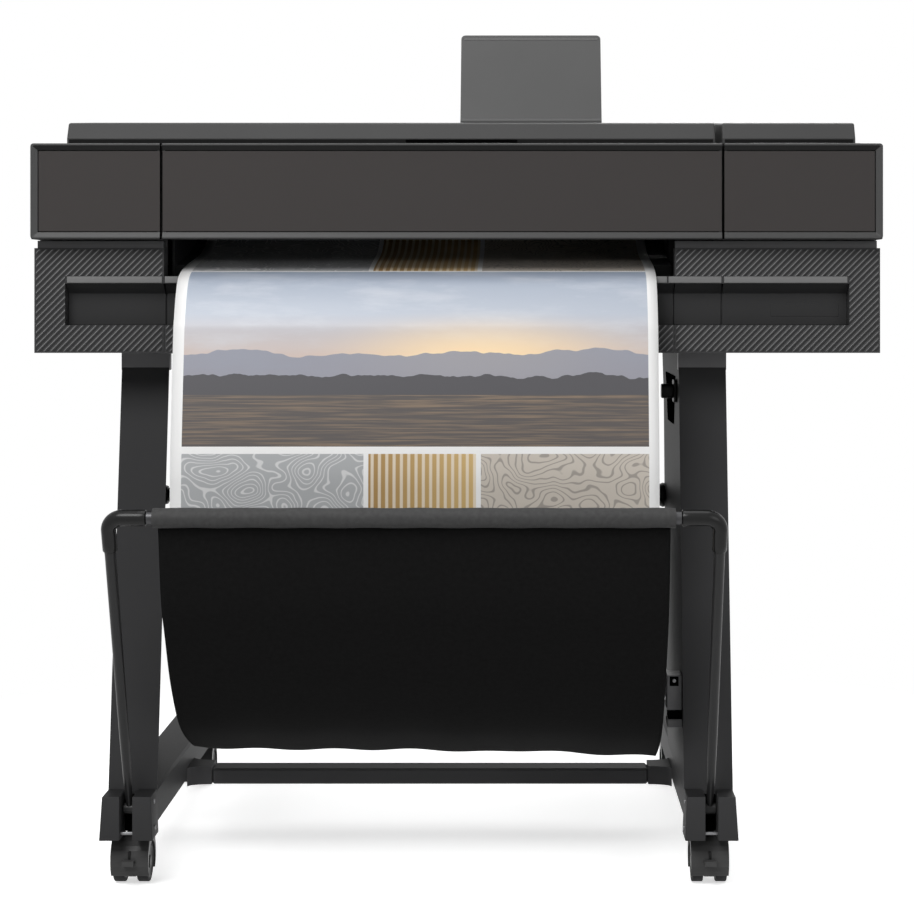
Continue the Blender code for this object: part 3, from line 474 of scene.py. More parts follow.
def view_picture(look, u, depth):
    """Evening view: graded sky with cloud, a low sun, two lines of hills and still water."""
    sky = look.ramp(depth, (0.0, (0.30, 0.35, 0.44)), (0.32, (0.44, 0.48, 0.55)),
                    (0.50, (0.56, 0.49, 0.47)), (0.66, (0.60, 0.40, 0.29)))
    cloud = look.noise(look.point(u * 4.0, depth * 7.0), 1.0, 6.0, 0.62)
    colour = look.mix(((cloud - 0.48) * 3.5).clamp() * 0.6, sky, (0.62, 0.64, 0.68))
    across = u - 0.36
    down = depth - 0.56
    glow = (1.0 - (across * across * 5.0 + down * down * 11.0)).clamp().power(3.0)
    colour = look.mix(glow * 0.85, colour, (1.0, 0.74, 0.42))
    colour = look.mix(hills(look, u, depth, 0.53, 0.34, 3.2, 2.0) * 0.9, colour, (0.25, 0.27, 0.33))
    colour = look.mix(hills(look, u, depth, 0.64, 0.24, 5.5, 9.0), colour, (0.070, 0.068, 0.075))
    ripple = look.noise(look.point(u * 5.0, depth * 90.0), 1.0, 3.0, 0.6)
    shine = ((ripple - 0.45) * 4.0).clamp() * (0.25 + glow)
    water = look.mix(shine.clamp(), (0.085, 0.075, 0.072), (0.62, 0.42, 0.24))
    return look.mix(depth > 0.74, colour, water)


def contour_picture(look, u, v, ground, line, seed):
    """Contour lines: level steps of a smooth noise, thin and even."""
    height = look.noise(look.point(u * 9.0, v * 16.0, seed), 1.0, 1.5, 0.4)
    lines = ((height * 150.0).sine() - 0.55) * 3.0
    return look.mix(lines.clamp() * 0.7, ground, line)


def stripe_picture(look, u):
    """Amber slats: even upright stripes, darker towards one side."""
    slat = ((u * 420.0).sine() * 2.0).clamp()
    shade_side = look.mix((u - 0.35) * 4.0, (0.60, 0.42, 0.18), (0.36, 0.22, 0.08))
    return look.mix(slat * 0.75, shade_side, (0.80, 0.72, 0.60))


def printed(name, white, strip, top, bottom, second):
    """Coated paper with a plain generic print laid out by the share of its length that has run out."""
    look = Look(name, 0.42, gloss=0.4)
    u, v = look.map()
    margin = band(u, 0.021, 0.977)
    main = view_picture(look, u, (v - top) * (1.0 / (bottom - top)))
    left = contour_picture(look, u, v, (0.56, 0.51, 0.45), (0.24, 0.22, 0.20), 1.0)
    right = contour_picture(look, u, v, (0.40, 0.41, 0.42), (0.74, 0.74, 0.74), 6.0)
    row = look.mix(u > 0.37, left, stripe_picture(look, u))
    row = look.mix(u > 0.60, row, right)
    gutter = 1.0 - band(u, 0.365, 0.375) - band(u, 0.595, 0.605)
    fibre = look.noise(look.point(u * 600.0, v * 900.0), 1.0, 2.0)
    paper = look.mix(fibre, shade(white, 0.97), white)
    colour = look.mix(band(v, top, bottom) * margin, paper, main)
    colour = look.mix((v > second) * margin * gutter, colour, row)
    colour = look.mix((v < strip) * margin * gutter, colour, row)
    look.out("Base Color", colour)
    look.out("Roughness", 0.36 + fibre * 0.16)
    look.bump(fibre, 0.00002, 0.3)
    return look.material


def ribbed(name, colour, light, pitch):
    """Ribbed plastic: a painted highlight lightens the crest of each slanting rib, and painted shade darkens
    the hollow between ribs.
    """
    look = Look(name, 0.48)
    where = look.place()
    split = look.node("ShaderNodeSeparateXYZ", None, {0: where})
    z = Value(look, split.socket.node.outputs[2])
    wave = ((split - z) * (2 * math.pi / pitch)).sine()
    grain = look.noise(where, 900.0, 2.0)
    # painted highlight on the crests, and painted shade in the hollows below
    crest = ((wave - 0.80) * 7.0).clamp()
    hollow_shade = ((-0.35 - wave) * 2.5).clamp()
    tone = look.mix(hollow_shade * 0.7, colour, shade(colour, 0.35))
    look.out("Base Color", look.mix(crest * 0.95, tone, light))
    look.out("Roughness", 0.40 + grain * 0.16)
    look.bump(grain, 0.00005, 0.5)
    return look.material


# Sizes and colours that a user would change

def length(label, text, default):
    """Property that holds a length in metres."""
    return bpy.props.FloatProperty(name=label, description=text, default=default, unit="LENGTH", precision=5)


def tint(label, text, default):
    """Property that holds a colour."""
    return bpy.props.FloatVectorProperty(name=label, description=text, default=default, subtype="COLOR",
                                         size=3, min=0.0, max=1.0)


class PlotterSizes(bpy.types.PropertyGroup):
    """Sizes of the surface detail."""
    rib_pitch: length("Rib pitch", "Distance between slanting ribs along the panel", 0.0085)
    rib_height: length("Rib height", "How far a rib stands off the lower front", 0.0010)
    bezel_width: length("Bezel width", "Width of the raised border round a front panel", 0.0088)
    panel_depth: length("Panel depth", "How far a front panel sits behind the crest of its border", 0.0036)
    weave_pitch: length("Weave pitch", "Distance between threads of the bin cloth", 0.0016)
    screw_radius: length("Screw radius", "Radius of a screw head", 0.0034)


class PlotterColours(bpy.types.PropertyGroup):
    """Colours of the finishes, as linear values."""
    shell: tint("Shell", "Covers, lids and feet", (0.040, 0.040, 0.040))
    panel: tint("Front panel", "Inset front panels", (0.043, 0.039, 0.038))
    lid: tint("Lids", "Top lids and tray", (0.050, 0.050, 0.050))
    bezel: tint("Bezel", "Sloping border round the panels", (0.064, 0.064, 0.064))
    rib: tint("Ribs", "Ribbed lower front", (0.040, 0.040, 0.041))
    # painted highlight: the light colour laid on the rib crests
    crest: tint("Rib crests", "Painted highlight on the rib crests", (0.200, 0.200, 0.202))
    lip: tint("Lip", "Light bar above the front recess", (0.175, 0.175, 0.175))
    steel: tint("Stand", "Coated steel of the stand", (0.037, 0.037, 0.038))
    black: tint("Black", "Dark plastic and inner parts", (0.012, 0.012, 0.012))
    cloth: tint("Cloth", "Bin cloth", (0.0075, 0.0075, 0.0075))
    paper: tint("Paper", "Unprinted paper", (0.86, 0.86, 0.855))


FINISH = {}


def coat(name, finish):
    """Lays a finish on a frame node."""
    NODES[name].data.materials.clear()
    NODES[name].data.materials.append(FINISH[finish])


def dress(item, body, finish, slot, *nodes):
    """Gives a piece its finish and its body and hides the nodes that it stands for; the record slot is not
    used.
    """
    item.data.materials.clear()
    item.data.materials.append(FINISH[finish])
    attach(item, body)
    if nodes:
        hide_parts(*nodes)
    return item


def slab(name, low, high, radius, finish, slot, axis="Z", corner=None, body="root", nodes=()):
    """Rounded box with its finish, body and the nodes that it stands for; the slot is not used."""
    return dress(block(name, low, high, radius, axis, corner), body, finish, slot, *nodes)


CAD_FINISH = {
    "shell": ("left_end_cover", "right_end_cover", "front_door", "rear_cover"),
    "rib_base": ("lower_front_left", "lower_front_centre", "lower_front_right"),
    "lid": ("roll_cover", "ink_lid"),
    "tray": ("sheet_tray",),
    "chassis": ("chassis", "platen", "service_station", "ink_station"),
    "stand": ("left_leg", "right_leg"),
    "brace": ("cross_brace",),
    "foot": ("left_foot", "right_foot"),
    "bright": ("carriage_rail",),
    "rubber": ("feed_roller", "pinch_roller", "carriage_belt"),
    "motor": ("feed_motor", "carriage_motor"),
    "pulley": ("motor_pulley", "idler_pulley"),
    "moving": ("carriage", "roll_spindle"),
    "roll": ("paper_roll",),
    "inlet": ("power_inlet",),
    "button": ("power_button",),
    "ink_black": ("ink_cartridge_black",),
    "ink_cyan": ("ink_cartridge_cyan",),
    "ink_magenta": ("ink_cartridge_magenta",),
    "ink_yellow": ("ink_cartridge_yellow",),
}


class PLOTTER_OT_finishes(bpy.types.Operator):
    """Mix the finishes and lay them on the frame's own nodes"""
    bl_idname = "plotter.finishes"
    bl_label = "Finishes"

    def execute(self, context):
        colours = context.scene.plotter_colours
        hue = {key: tuple(getattr(colours, key)) for key in PlotterColours.__annotations__}
        sizes = context.scene.plotter_sizes
        steel = hue["steel"]
        FINISH.update({
            "shell": moulded("shell plastic", hue["shell"], 0.44),
            "panel": moulded("matte front panel", hue["panel"], 0.62, 0.00005, 0.0007, 0.06),
            # painted shade: the downward-looking slopes of the panel borders take a darker tone
            "bezel": facing_shade_coat("satin bezel", hue["bezel"], shade(hue["bezel"], 0.16), "Z", 0.36, 0.12,
                              -1.0, 0.2),
            "lid": moulded("lid plastic", hue["lid"], 0.42),
            "tray": moulded("tray plastic", shade(hue["lid"], 1.75), 0.40),
            "rib_base": moulded("lower front plastic", hue["rib"], 0.50),
            "rib": ribbed("ribbed plastic", hue["rib"], hue["crest"], sizes.rib_pitch),
            # painted shade: the linings and plate of the recess are darker than the ribs to stand in for the
            # shade under the lip
            "recess": moulded("recess plastic", shade(hue["rib"], 0.62), 0.46),
            # painted shade: a dark strip on each lid's undercut front wall
            "plinth": moulded("lid plinth", shade(hue["shell"], 0.30), 0.6, gloss=0.02),
            # near black; on the grip, the seam strips and the shelf pocket it is painted shade for the
            # hollows and gaps there
            "pit": moulded("grip and seam black", shade(hue["shell"], 0.05), 0.7, gloss=0.0),
            # painted highlight: the ridge is much lighter than the tray to show the light line along it
            "ridge": moulded("tray ridge", shade(hue["lid"], 2.6), 0.40),
            # painted highlight: on the recess lips this light grey stands in for the light on their
            # upward-facing front edge; the button ring shares it
            "lip": moulded("lip plastic", hue["lip"], 0.36),
            # painted light: the ledges are lighter than the ribs to make up for the shade under the door's
            # overhang
            "ledge": moulded("ledge plastic", shade(hue["rib"], 2.2), 0.45),
            "chassis": coated("inner steel", shade(steel, 0.5), 0.55),
            # painted shade: the legs' faces that look along X and the feet's upward faces take darker tones
            "stand": facing_shade_coat("stand coating", shade(steel, 1.15), shade(steel, 0.50), "X", 0.48, 0.03),
            "foot": facing_shade_coat("foot casting", shade(steel, 1.25), shade(steel, 0.50), "Z", 0.48, 0.03),
            # painted light: the brackets' coat is much lighter than the stand's to make up for the shade they
            # sit in
            "bracket": coated("bracket coating", shade(steel, 4.2), 0.42),
            # painted light and shade: the brace coat is lighter than the legs' to make up for the shade of
            # the bin, and its upward faces darker
            "brace": facing_shade_coat("brace coating", shade(steel, 3.6), shade(steel, 0.35), "Z"),
            "tube": coated("tube coating", shade(steel, 0.55), 0.34, 0.0022),
            "elbow": moulded("elbow plastic", shade(hue["black"], 0.8), 0.24, 0.00003, gloss=0.18),
            "bar": brushed("bar steel", (0.055, 0.055, 0.057), 0.40),
            "black": moulded("black plastic", hue["black"], 0.42),
            "gloss": moulded("caster plastic", shade(hue["black"], 5.0), 0.34, 0.00003),
            "bright": brushed("satin rail", (0.62, 0.62, 0.63)),
            "screw": brushed("screw heads", (0.16, 0.16, 0.165), 0.38),
            "rubber": rubbery("roller rubber", (0.020, 0.020, 0.020)),
            "tread": rubbery("wheel tread", (0.030, 0.030, 0.031)),
            "motor": coated("motor can", (0.20, 0.20, 0.21), 0.40),
            "pulley": brushed("pulley metal", (0.50, 0.50, 0.50)),
            "moving": moulded("carriage plastic", (0.055, 0.056, 0.058), 0.45),
            "roll": plain_paper("paper roll", hue["paper"]),
            "paper_back": plain_paper("paper back", hue["paper"]),
            "inlet": moulded("inlet plastic", shade(hue["black"], 0.8), 0.35),
            "screen": glossy("screen glass", (0.008, 0.009, 0.011)),
            "button": glossy("button cap", (0.060, 0.060, 0.062), 0.25),
            "ink_black": moulded("black cartridge", (0.015, 0.015, 0.016), 0.35),
            "ink_cyan": moulded("cyan cartridge", (0.0, 0.25, 0.45), 0.35),
            "ink_magenta": moulded("magenta cartridge", (0.42, 0.01, 0.16), 0.35),
            "ink_yellow": moulded("yellow cartridge", (0.70, 0.48, 0.01), 0.35),
        })
        for finish, names in CAD_FINISH.items():
            for name in names:
                coat(name, finish)
        return {"FINISHED"}


# The head: front panels, ribbed lower front, lids and controls

HEAD_FRONT = -0.234
BORDER_EDGE = 0.0003
BORDER_CORNER = 0.0040
SEAM_STRIP = 0.0012
GROOVE = 0.0010
DOOR_GAP = 0.0008


def mitred(name, corners, profile):
    """Closed profile of (inset, depth) points carried round corners (x, z, inward x, inward z)."""
    corners, profile = np.asarray(corners, float), np.asarray(profile, float)
    grid = np.zeros((len(corners), len(profile), 3))
    grid[..., 0] = corners[:, :1] + corners[:, 2:3] * profile[:, 0]
    grid[..., 1] = HEAD_FRONT + profile[:, 1]
    grid[..., 2] = corners[:, 1:2] + corners[:, 3:] * profile[:, 0]
    return recalc(surface(name, grid, wrap=True, caps=(True, True)))


def bent_corner(x, z, inward_x, inward_z, reach):
    """Corner of a border: a quarter circle at its outer edge, drawn to a plain mitre at its full reach."""
    turn = arc(90, 0, 6)
    outer_x = x + inward_x * BORDER_CORNER * (1 - np.cos(turn))
    outer_z = z + inward_z * BORDER_CORNER * (1 - np.sin(turn))
    outer = np.stack([outer_x, outer_z], axis=1)
    inner = np.array([x + inward_x * reach, z + inward_z * reach])
    return np.concatenate([outer, (inner - outer) / reach], axis=1)


def front_panel(name, low, high, ends, body, sizes):
    """Flat panel of one front, its raised sloping border and a near-black strip of painted shade along each
    seam, for the gap.
    """
    bottom, top = box("front_door")[0][2] + BORDER_EDGE, box("front_door")[1][2] - BORDER_EDGE
    left = low + (BORDER_EDGE if ends[0] else SEAM_STRIP)
    right = high - (BORDER_EDGE if ends[1] else SEAM_STRIP)
    width, rise = sizes.bezel_width, sizes.panel_depth
    profile = ((0.0, 0.0015), (0.0, 0.0009 - rise), (0.0003, 0.0003 - rise), (0.0009, -rise), (0.0026, -rise),
               (0.0034, 0.0003 - rise), (width, -0.0006), (width, 0.0015))
    upper = np.array([[left, top, 0, -1], [right, top, 0, -1]])
    lower = np.array([[left, bottom, 0, 1], [right, bottom, 0, 1]])
    runs = {"upper": upper, "lower": lower}
    if ends[0]:
        bend = (bent_corner(left, top, 1, -1, width), bent_corner(left, bottom, 1, 1, width)[::-1])
        runs = {"border": np.concatenate([upper[1:], *bend, lower[1:]])}
    if ends[1]:
        bend = (bent_corner(right, top, -1, -1, width), bent_corner(right, bottom, -1, 1, width)[::-1])
        runs = {"border": np.concatenate([upper[:1], *bend, lower[:1]])}
    for part, corners in runs.items():
        dress(mitred(f"{name}_{part}", corners, profile), body, "bezel", "shell")
    side = width + GROOVE
    first = (left + side * ends[0], HEAD_FRONT - 0.0005, bottom + side)
    last = (right - side * ends[1], HEAD_FRONT + 0.0057, top - side)
    slab(name + "_panel", first, last, 0.0006, "panel", "shell", "Y", 0.0009, body)
    # painted shade: a near-black strip along each open seam stands in for the dark of the gap
    for part, edge, sign, closed in (("left", low, 1, ends[0]), ("right", high, -1, ends[1])):
        if not closed:
            across = sorted((edge + sign * 0.0001, edge + sign * SEAM_STRIP))
            slab(f"{name}_seam_{part}", (across[0], HEAD_FRONT - 0.0003, bottom),
                 (across[1], HEAD_FRONT + 0.002, top), 0.0001, "pit", "shell", "Y", body=body)


class PLOTTER_OT_fronts(bpy.types.Operator):
    """Front panels of the two end covers and the door, each in its sloping border"""
    bl_idname = "plotter.fronts"
    bl_label = "Front panels"

    def execute(self, context):
        sizes = context.scene.plotter_sizes
        door_low, door_high = box("front_door")
        left = box("left_end_cover")[0][0]
        right = box("right_end_cover")[1][0]
        front_panel("left_front", left, door_low[0] - DOOR_GAP, (True, False), "root", sizes)
        front_panel("door_front", door_low[0], door_high[0], (False, False), "door", sizes)
        front_panel("right_front", door_high[0] + DOOR_GAP, right, (False, True), "root", sizes)
        return {"FINISHED"}


RIB_RIM = 0.002
RECESS_X = (-0.503, 0.503)
RECESS_Z = (0.708, 0.771)
LIPS = ((-0.5005, -0.3785), (-0.3750, 0.2690), (0.2710, 0.3390), (0.3422, 0.5005))
LININGS = ((-0.5022, -0.3772), (-0.3750, 0.2783), (0.2797, 0.3395), (0.3417, 0.5022))
LINING = ((-0.1905, 0.7085), (-0.1930, 0.7085), (-0.1925, 0.7488), (-0.2090, 0.7612), (-0.1905, 0.7612))


def rib_skin(name, node, sizes):
    """Height field on a lower front: a clipped sine of x minus z, flat at the rim, open at the recess."""
    low, high = box(node)
    left, right, bottom, top = low[0] + RIB_RIM, high[0] - RIB_RIM, low[2] + RIB_RIM, high[2] - RIB_RIM
    x = np.linspace(left, right, max(2, int((right - left) / 0.00085)))
    z = np.linspace(bottom, top, int((top - bottom) / 0.0017))
    for edge_x, edge_z in zip(RECESS_X, RECESS_Z):
        x[np.abs(x - edge_x).argmin()] = np.clip(edge_x, left, right)
        z[np.abs(z - edge_z).argmin()] = edge_z
    across, up = np.meshgrid(x, z)
    wave = np.sin((across - up) * 2 * math.pi / sizes.rib_pitch)
    edge = np.minimum.reduce([across - left, right - across, up - bottom, top - up])
    height = sizes.rib_height * np.clip(0.5 + 0.9 * wave, 0, 1) * np.clip(edge / RIB_RIM, 0, 1)
    front = low[1] - 0.00015 - height
    grid = np.stack([across, front, up], axis=-1)
    middle_x, middle_z = (x[1:] + x[:-1]) / 2, (z[1:] + z[:-1]) / 2
    in_x = (middle_x > RECESS_X[0]) & (middle_x < RECESS_X[1])
    in_z = (middle_z > RECESS_Z[0]) & (middle_z < RECESS_Z[1])
    keep = ~(in_z[:, None] & in_x[None, :])
    return dress(surface(name, grid, keep=keep), "root", "rib", "shell")


LIP_Z = (0.7622, 0.7706)
LEDGES = {"left": (-0.5385, -0.3770), "right": (0.2795, 0.5385)}
LEDGE_Z = (0.8069, 0.8164)
BARE_PLATE = ((0.4040, -0.1931, 0.7190), (0.4920, -0.1924, 0.7364))


class PLOTTER_OT_lower_front(bpy.types.Operator):
    """Ribbed skins of the lower front, lips, linings and plain plate of its recess, and two ledges above"""
    bl_idname = "plotter.lower_front"
    bl_label = "Ribbed lower front"

    def execute(self, context):
        sizes = context.scene.plotter_sizes
        for side in ("left", "centre", "right"):
            rib_skin(side + "_rib_skin", "lower_front_" + side, sizes)
        front = box("lower_front_left")[0][1]
        # lips in the light lip colour, a painted highlight
        for index, (left, right) in enumerate(LIPS):
            slab(f"recess_lip_{index}", (left, front - 0.0014, LIP_Z[0]), (right, front + 0.004, LIP_Z[1]),
                 0.0007, "lip", "shell", "X", 0.0009)
        # linings in the darker recess finish, a painted shade
        for index, (left, right) in enumerate(LININGS):
            lining = extrude_x(f"recess_lining_{index}", LINING, left, right)
            dress(recalc(lining), "root", "recess", "shell")
        # ledges in the lighter ledge finish, a painted light
        for side, (left, right) in LEDGES.items():
            slab(side + "_ledge", (left, front + 0.0005, LEDGE_Z[0]), (right, front + 0.008, LEDGE_Z[1]),
                 0.0005, "ledge", "shell", "X")
        slab("bare_plate", *BARE_PLATE, 0.0003, "recess", "shell", "Y", 0.001)
        return {"FINISHED"}


LID_LINE = 0.9508
GRIP_X = (-0.069, 0.077)
GRIP_Z = (0.9420, 0.9506)
TRAY_LEAN = math.radians(22.0)
TRAY_HINGE = (0.050, 0.9903)
RIDGE_UP = 0.1295
COVER_TOP = 0.940
SCREEN_RIM = 0.004
BUTTON_RING = ((-0.0002, 0.0064), (0.0007, 0.0066), (0.0007, 0.0078), (-0.0002, 0.0082))


class PLOTTER_OT_lids(bpy.types.Operator):
    """Front walls and grip of the lids in painted shade, ridge of the sheet tray with its painted highlight,
    touch screen and ring of the power button
    """
    bl_idname = "plotter.lids"
    bl_label = "Lids and tray"

    def execute(self, context):
        for node, body in (("roll_cover", "roll_lid"), ("ink_lid", "ink_door")):
            low, high = box(node)
            # painted shade: a dark strip along each lid's undercut front wall
            slab(node + "_plinth", (low[0] + 0.003, low[1] - 0.0005, low[2] + 0.0008),
                 (high[0] - 0.003, low[1] + 0.003, LID_LINE), 0.0004, "plinth", "lid", "Y", 0.0008, body)
        front = box("roll_cover")[0][1]
        # painted shade: a near-black block stands in for the hollow of the grip
        slab("cover_grip", (GRIP_X[0], front - 0.0010, GRIP_Z[0]), (GRIP_X[1], front + 0.003, GRIP_Z[1]),
             0.0004, "pit", "lid", "Y", 0.0010, "roll_lid")
        self.ridge()
        self.controls()
        return {"FINISHED"}

    def ridge(self):
        """Low oval ridge across the front of the tray, near its top edge, lighter than the tray as a painted
        highlight.
        """
        low, high = box("sheet_tray")
        up = np.array([math.sin(TRAY_LEAN), math.cos(TRAY_LEAN)])
        out = np.array([-math.cos(TRAY_LEAN), math.sin(TRAY_LEAN)])
        middle = np.array(TRAY_HINGE) + up * RIDGE_UP + out * 0.0015
        turn = arc(0, 360, 25)[:-1]
        section = middle + 0.0013 * np.cos(turn)[:, None] * up + 0.0007 * np.sin(turn)[:, None] * out
        ridge = extrude_x("tray_ridge", section, low[0] + 0.004, high[0] - 0.004, 0.0004)
        dress(recalc(ridge), "tray", "ridge", "lid")

    def controls(self):
        """Thin touch screen in its frame, and a ring round the power button."""
        low, high = box("touch_screen")
        base = low[2]
        slab("screen_frame", (*low[:2], base - 0.0002), (*high[:2], base + 0.0010), 0.0004,
             "black", "shell", "Z", 0.004)
        start, end = (*(low[:2] + SCREEN_RIM), base), (*(high[:2] - SCREEN_RIM), base + 0.0014)
        slab("screen_glass", start, end, 0.0002, "screen", "glass", "Z", 0.002, nodes=("touch_screen",))
        low, high = box("power_button")
        middle = (low + high) / 2
        ring = ring_turned("button_ring", BUTTON_RING, (middle[0], middle[1], COVER_TOP), "Z")
        dress(ring, "root", "lip", "shell")


# Paper and bin: printed sheet, bar, arms and cloth

SHEET_X = (-0.3556, 0.2544)
SHEET_WAY = ((0.1424, 0.8100), (0.047, 0.8245), (0.024, 0.8195), (-0.034, 0.803), (-0.150, 0.787),
             (-0.205, 0.7765), (-0.232, 0.765), (-0.250, 0.742), (-0.262, 0.715), (-0.269, 0.690),
             (-0.290, 0.553), (-0.294, 0.485), (-0.292, 0.400), (-0.287, 0.300))
PRINT_LEVELS = (0.7845, 0.7765, 0.5575, 0.5485)
BAR = (-0.404, 0.480)
PIVOT = (-0.254, 0.098)
REAR_TUBE = (0.130, 0.460)
SLEEVE_X = (-0.3585, 0.2665)
SLEEVE_RADIUS = 0.0120
CLOTH_X = (-0.353, 0.261)
CLOTH_WAY = ((-0.400, 0.4690), (-0.378, 0.378), (-0.348, 0.325), (-0.301, 0.256), (-0.229, 0.192),
             (-0.118, 0.1465), (-0.060, 0.140), (0.010, 0.155), (0.070, 0.220), (0.115, 0.330),
             (0.1297, 0.4497))


def run_length(way):
    """Distance run along a path, from its first point to each of its points."""
    steps = np.linalg.norm(np.diff(way, axis=0), axis=1)
    return np.concatenate([[0.0], np.cumsum(steps)])


def even(way, count):
    """The same path in evenly spaced points."""
    run = run_length(way)
    goal = np.linspace(0.0, run[-1], count)
    return np.stack([np.interp(goal, run, way[:, axis]) for axis in range(way.shape[1])], axis=1)


class PLOTTER_OT_sheet(bpy.types.Operator):
    """Printed sheet that runs from the roll through the nip and hangs into the bin"""
    bl_idname = "plotter.sheet"
    bl_label = "Printed sheet"

    def execute(self, context):
        way = even(smooth_path(SHEET_WAY, 12), 220)
        run = run_length(way)
        share = run / run[-1]
        ahead = way[:, 0] < -0.2
        strip, top, bottom, second = np.interp(PRINT_LEVELS, way[ahead, 1][::-1], share[ahead][::-1])
        across = np.linspace(-1, 1, 41)[None, :]
        lift = 0.0012 * across ** 4 * np.clip((share - 0.5) * 4, 0, 1)[:, None]
        grid = np.zeros((220, 41, 3))
        grid[..., 0] = np.linspace(*SHEET_X, 41)
        grid[..., 1] = way[:, :1] - lift
        grid[..., 2] = way[:, 1:]
        sheet = surface("printed_paper", grid[:, ::-1], uv=True)
        white = tuple(context.scene.plotter_colours.paper)
        FINISH["print"] = printed("printed paper", white, strip, top, bottom, second)
        dress(sheet, "root", "print", "paper", "printed_sheet")
        sheet.data.materials.append(FINISH["paper_back"])
        wall = sheet.modifiers.new("thickness", "SOLIDIFY")
        wall.thickness = 0.0003
        wall.offset = -1.0
        wall.material_offset = 1
        return {"FINISHED"}


def arm_way(x, inward):
    """Middle line of an elbow: along the bar, a quarter turn, then down the arm."""
    bar = np.array([x, *BAR])
    down = np.array([x, *PIVOT]) - bar
    down /= np.linalg.norm(down)
    across = np.array([inward, 0.0, 0.0])
    bend = 0.017
    centre = bar + (across + down) * bend
    turn = arc(0, 90, 14)[:, None]
    curve = centre - down * bend * np.cos(turn) - across * bend * np.sin(turn)
    start = bar + across * np.array([0.046, 0.0455, 0.0445, 0.036, 0.026])[:, None]
    end = bar + down * np.array([0.024, 0.034, 0.0425, 0.0435, 0.044])[:, None]
    return np.concatenate([start, curve, end]), bar, down


def make_arm(side, x, inward):
    """Elbow with a swollen collar at each end, and the rod below it, drawn thinner at its foot."""
    way, bar, down = arm_way(x, inward)
    share = np.linspace(0, 1, len(way))
    collar = 0.0102 - 0.0014 * share
    collar[[0, -1]] -= 0.0016
    collar[[1, -2]] -= 0.0004
    elbow = recalc(tube(side + "_elbow", way, collar, 32))
    dress(elbow, "bin_frame", "elbow", "plastic", side + "_bin_elbow")
    pivot = np.array([x, *PIVOT])
    reach = np.linalg.norm(pivot - bar)
    along = np.array([0.0443, 0.048, 0.30, 0.36, reach - 0.012, reach])
    thick = np.array([0.0074, 0.0068, 0.0062, 0.0056, 0.0044, 0.0044])
    side_way = np.cross(down, (1.0, 0.0, 0.0))
    turn = np.linspace(0, 2 * math.pi, 24, endpoint=False)[None, :, None]
    ring = np.cos(turn) * np.array([1.0, 0.0, 0.0]) + np.sin(turn) * side_way
    grid = bar + down * along[:, None, None] + ring * thick[:, None, None]
    rod = recalc(surface(side + "_rod", grid, wrap=True, caps=(True, True)))
    dress(rod, "bin_frame", "tube", "steel", side + "_bin_rod")
    hub = ((-0.0074, 0.0062), (-0.0068, 0.0070), (0.0068, 0.0070), (0.0074, 0.0062))
    dress(turned(side + "_rod_eye", hub, pivot, "X", 28), "bin_frame", "tube", "steel")


def round_bar(name, node, place, radius, edge, body, finish):
    """Turned bar as long as its node, with a small chamfer at each end."""
    left, right = box(node)[0][0], box(node)[1][0]
    profile = ((left, radius - edge), (left + edge, radius), (right - edge, radius), (right, radius - edge))
    dress(turned(name, profile, (0.0, *place), "X", 36), body, finish, "steel", node)


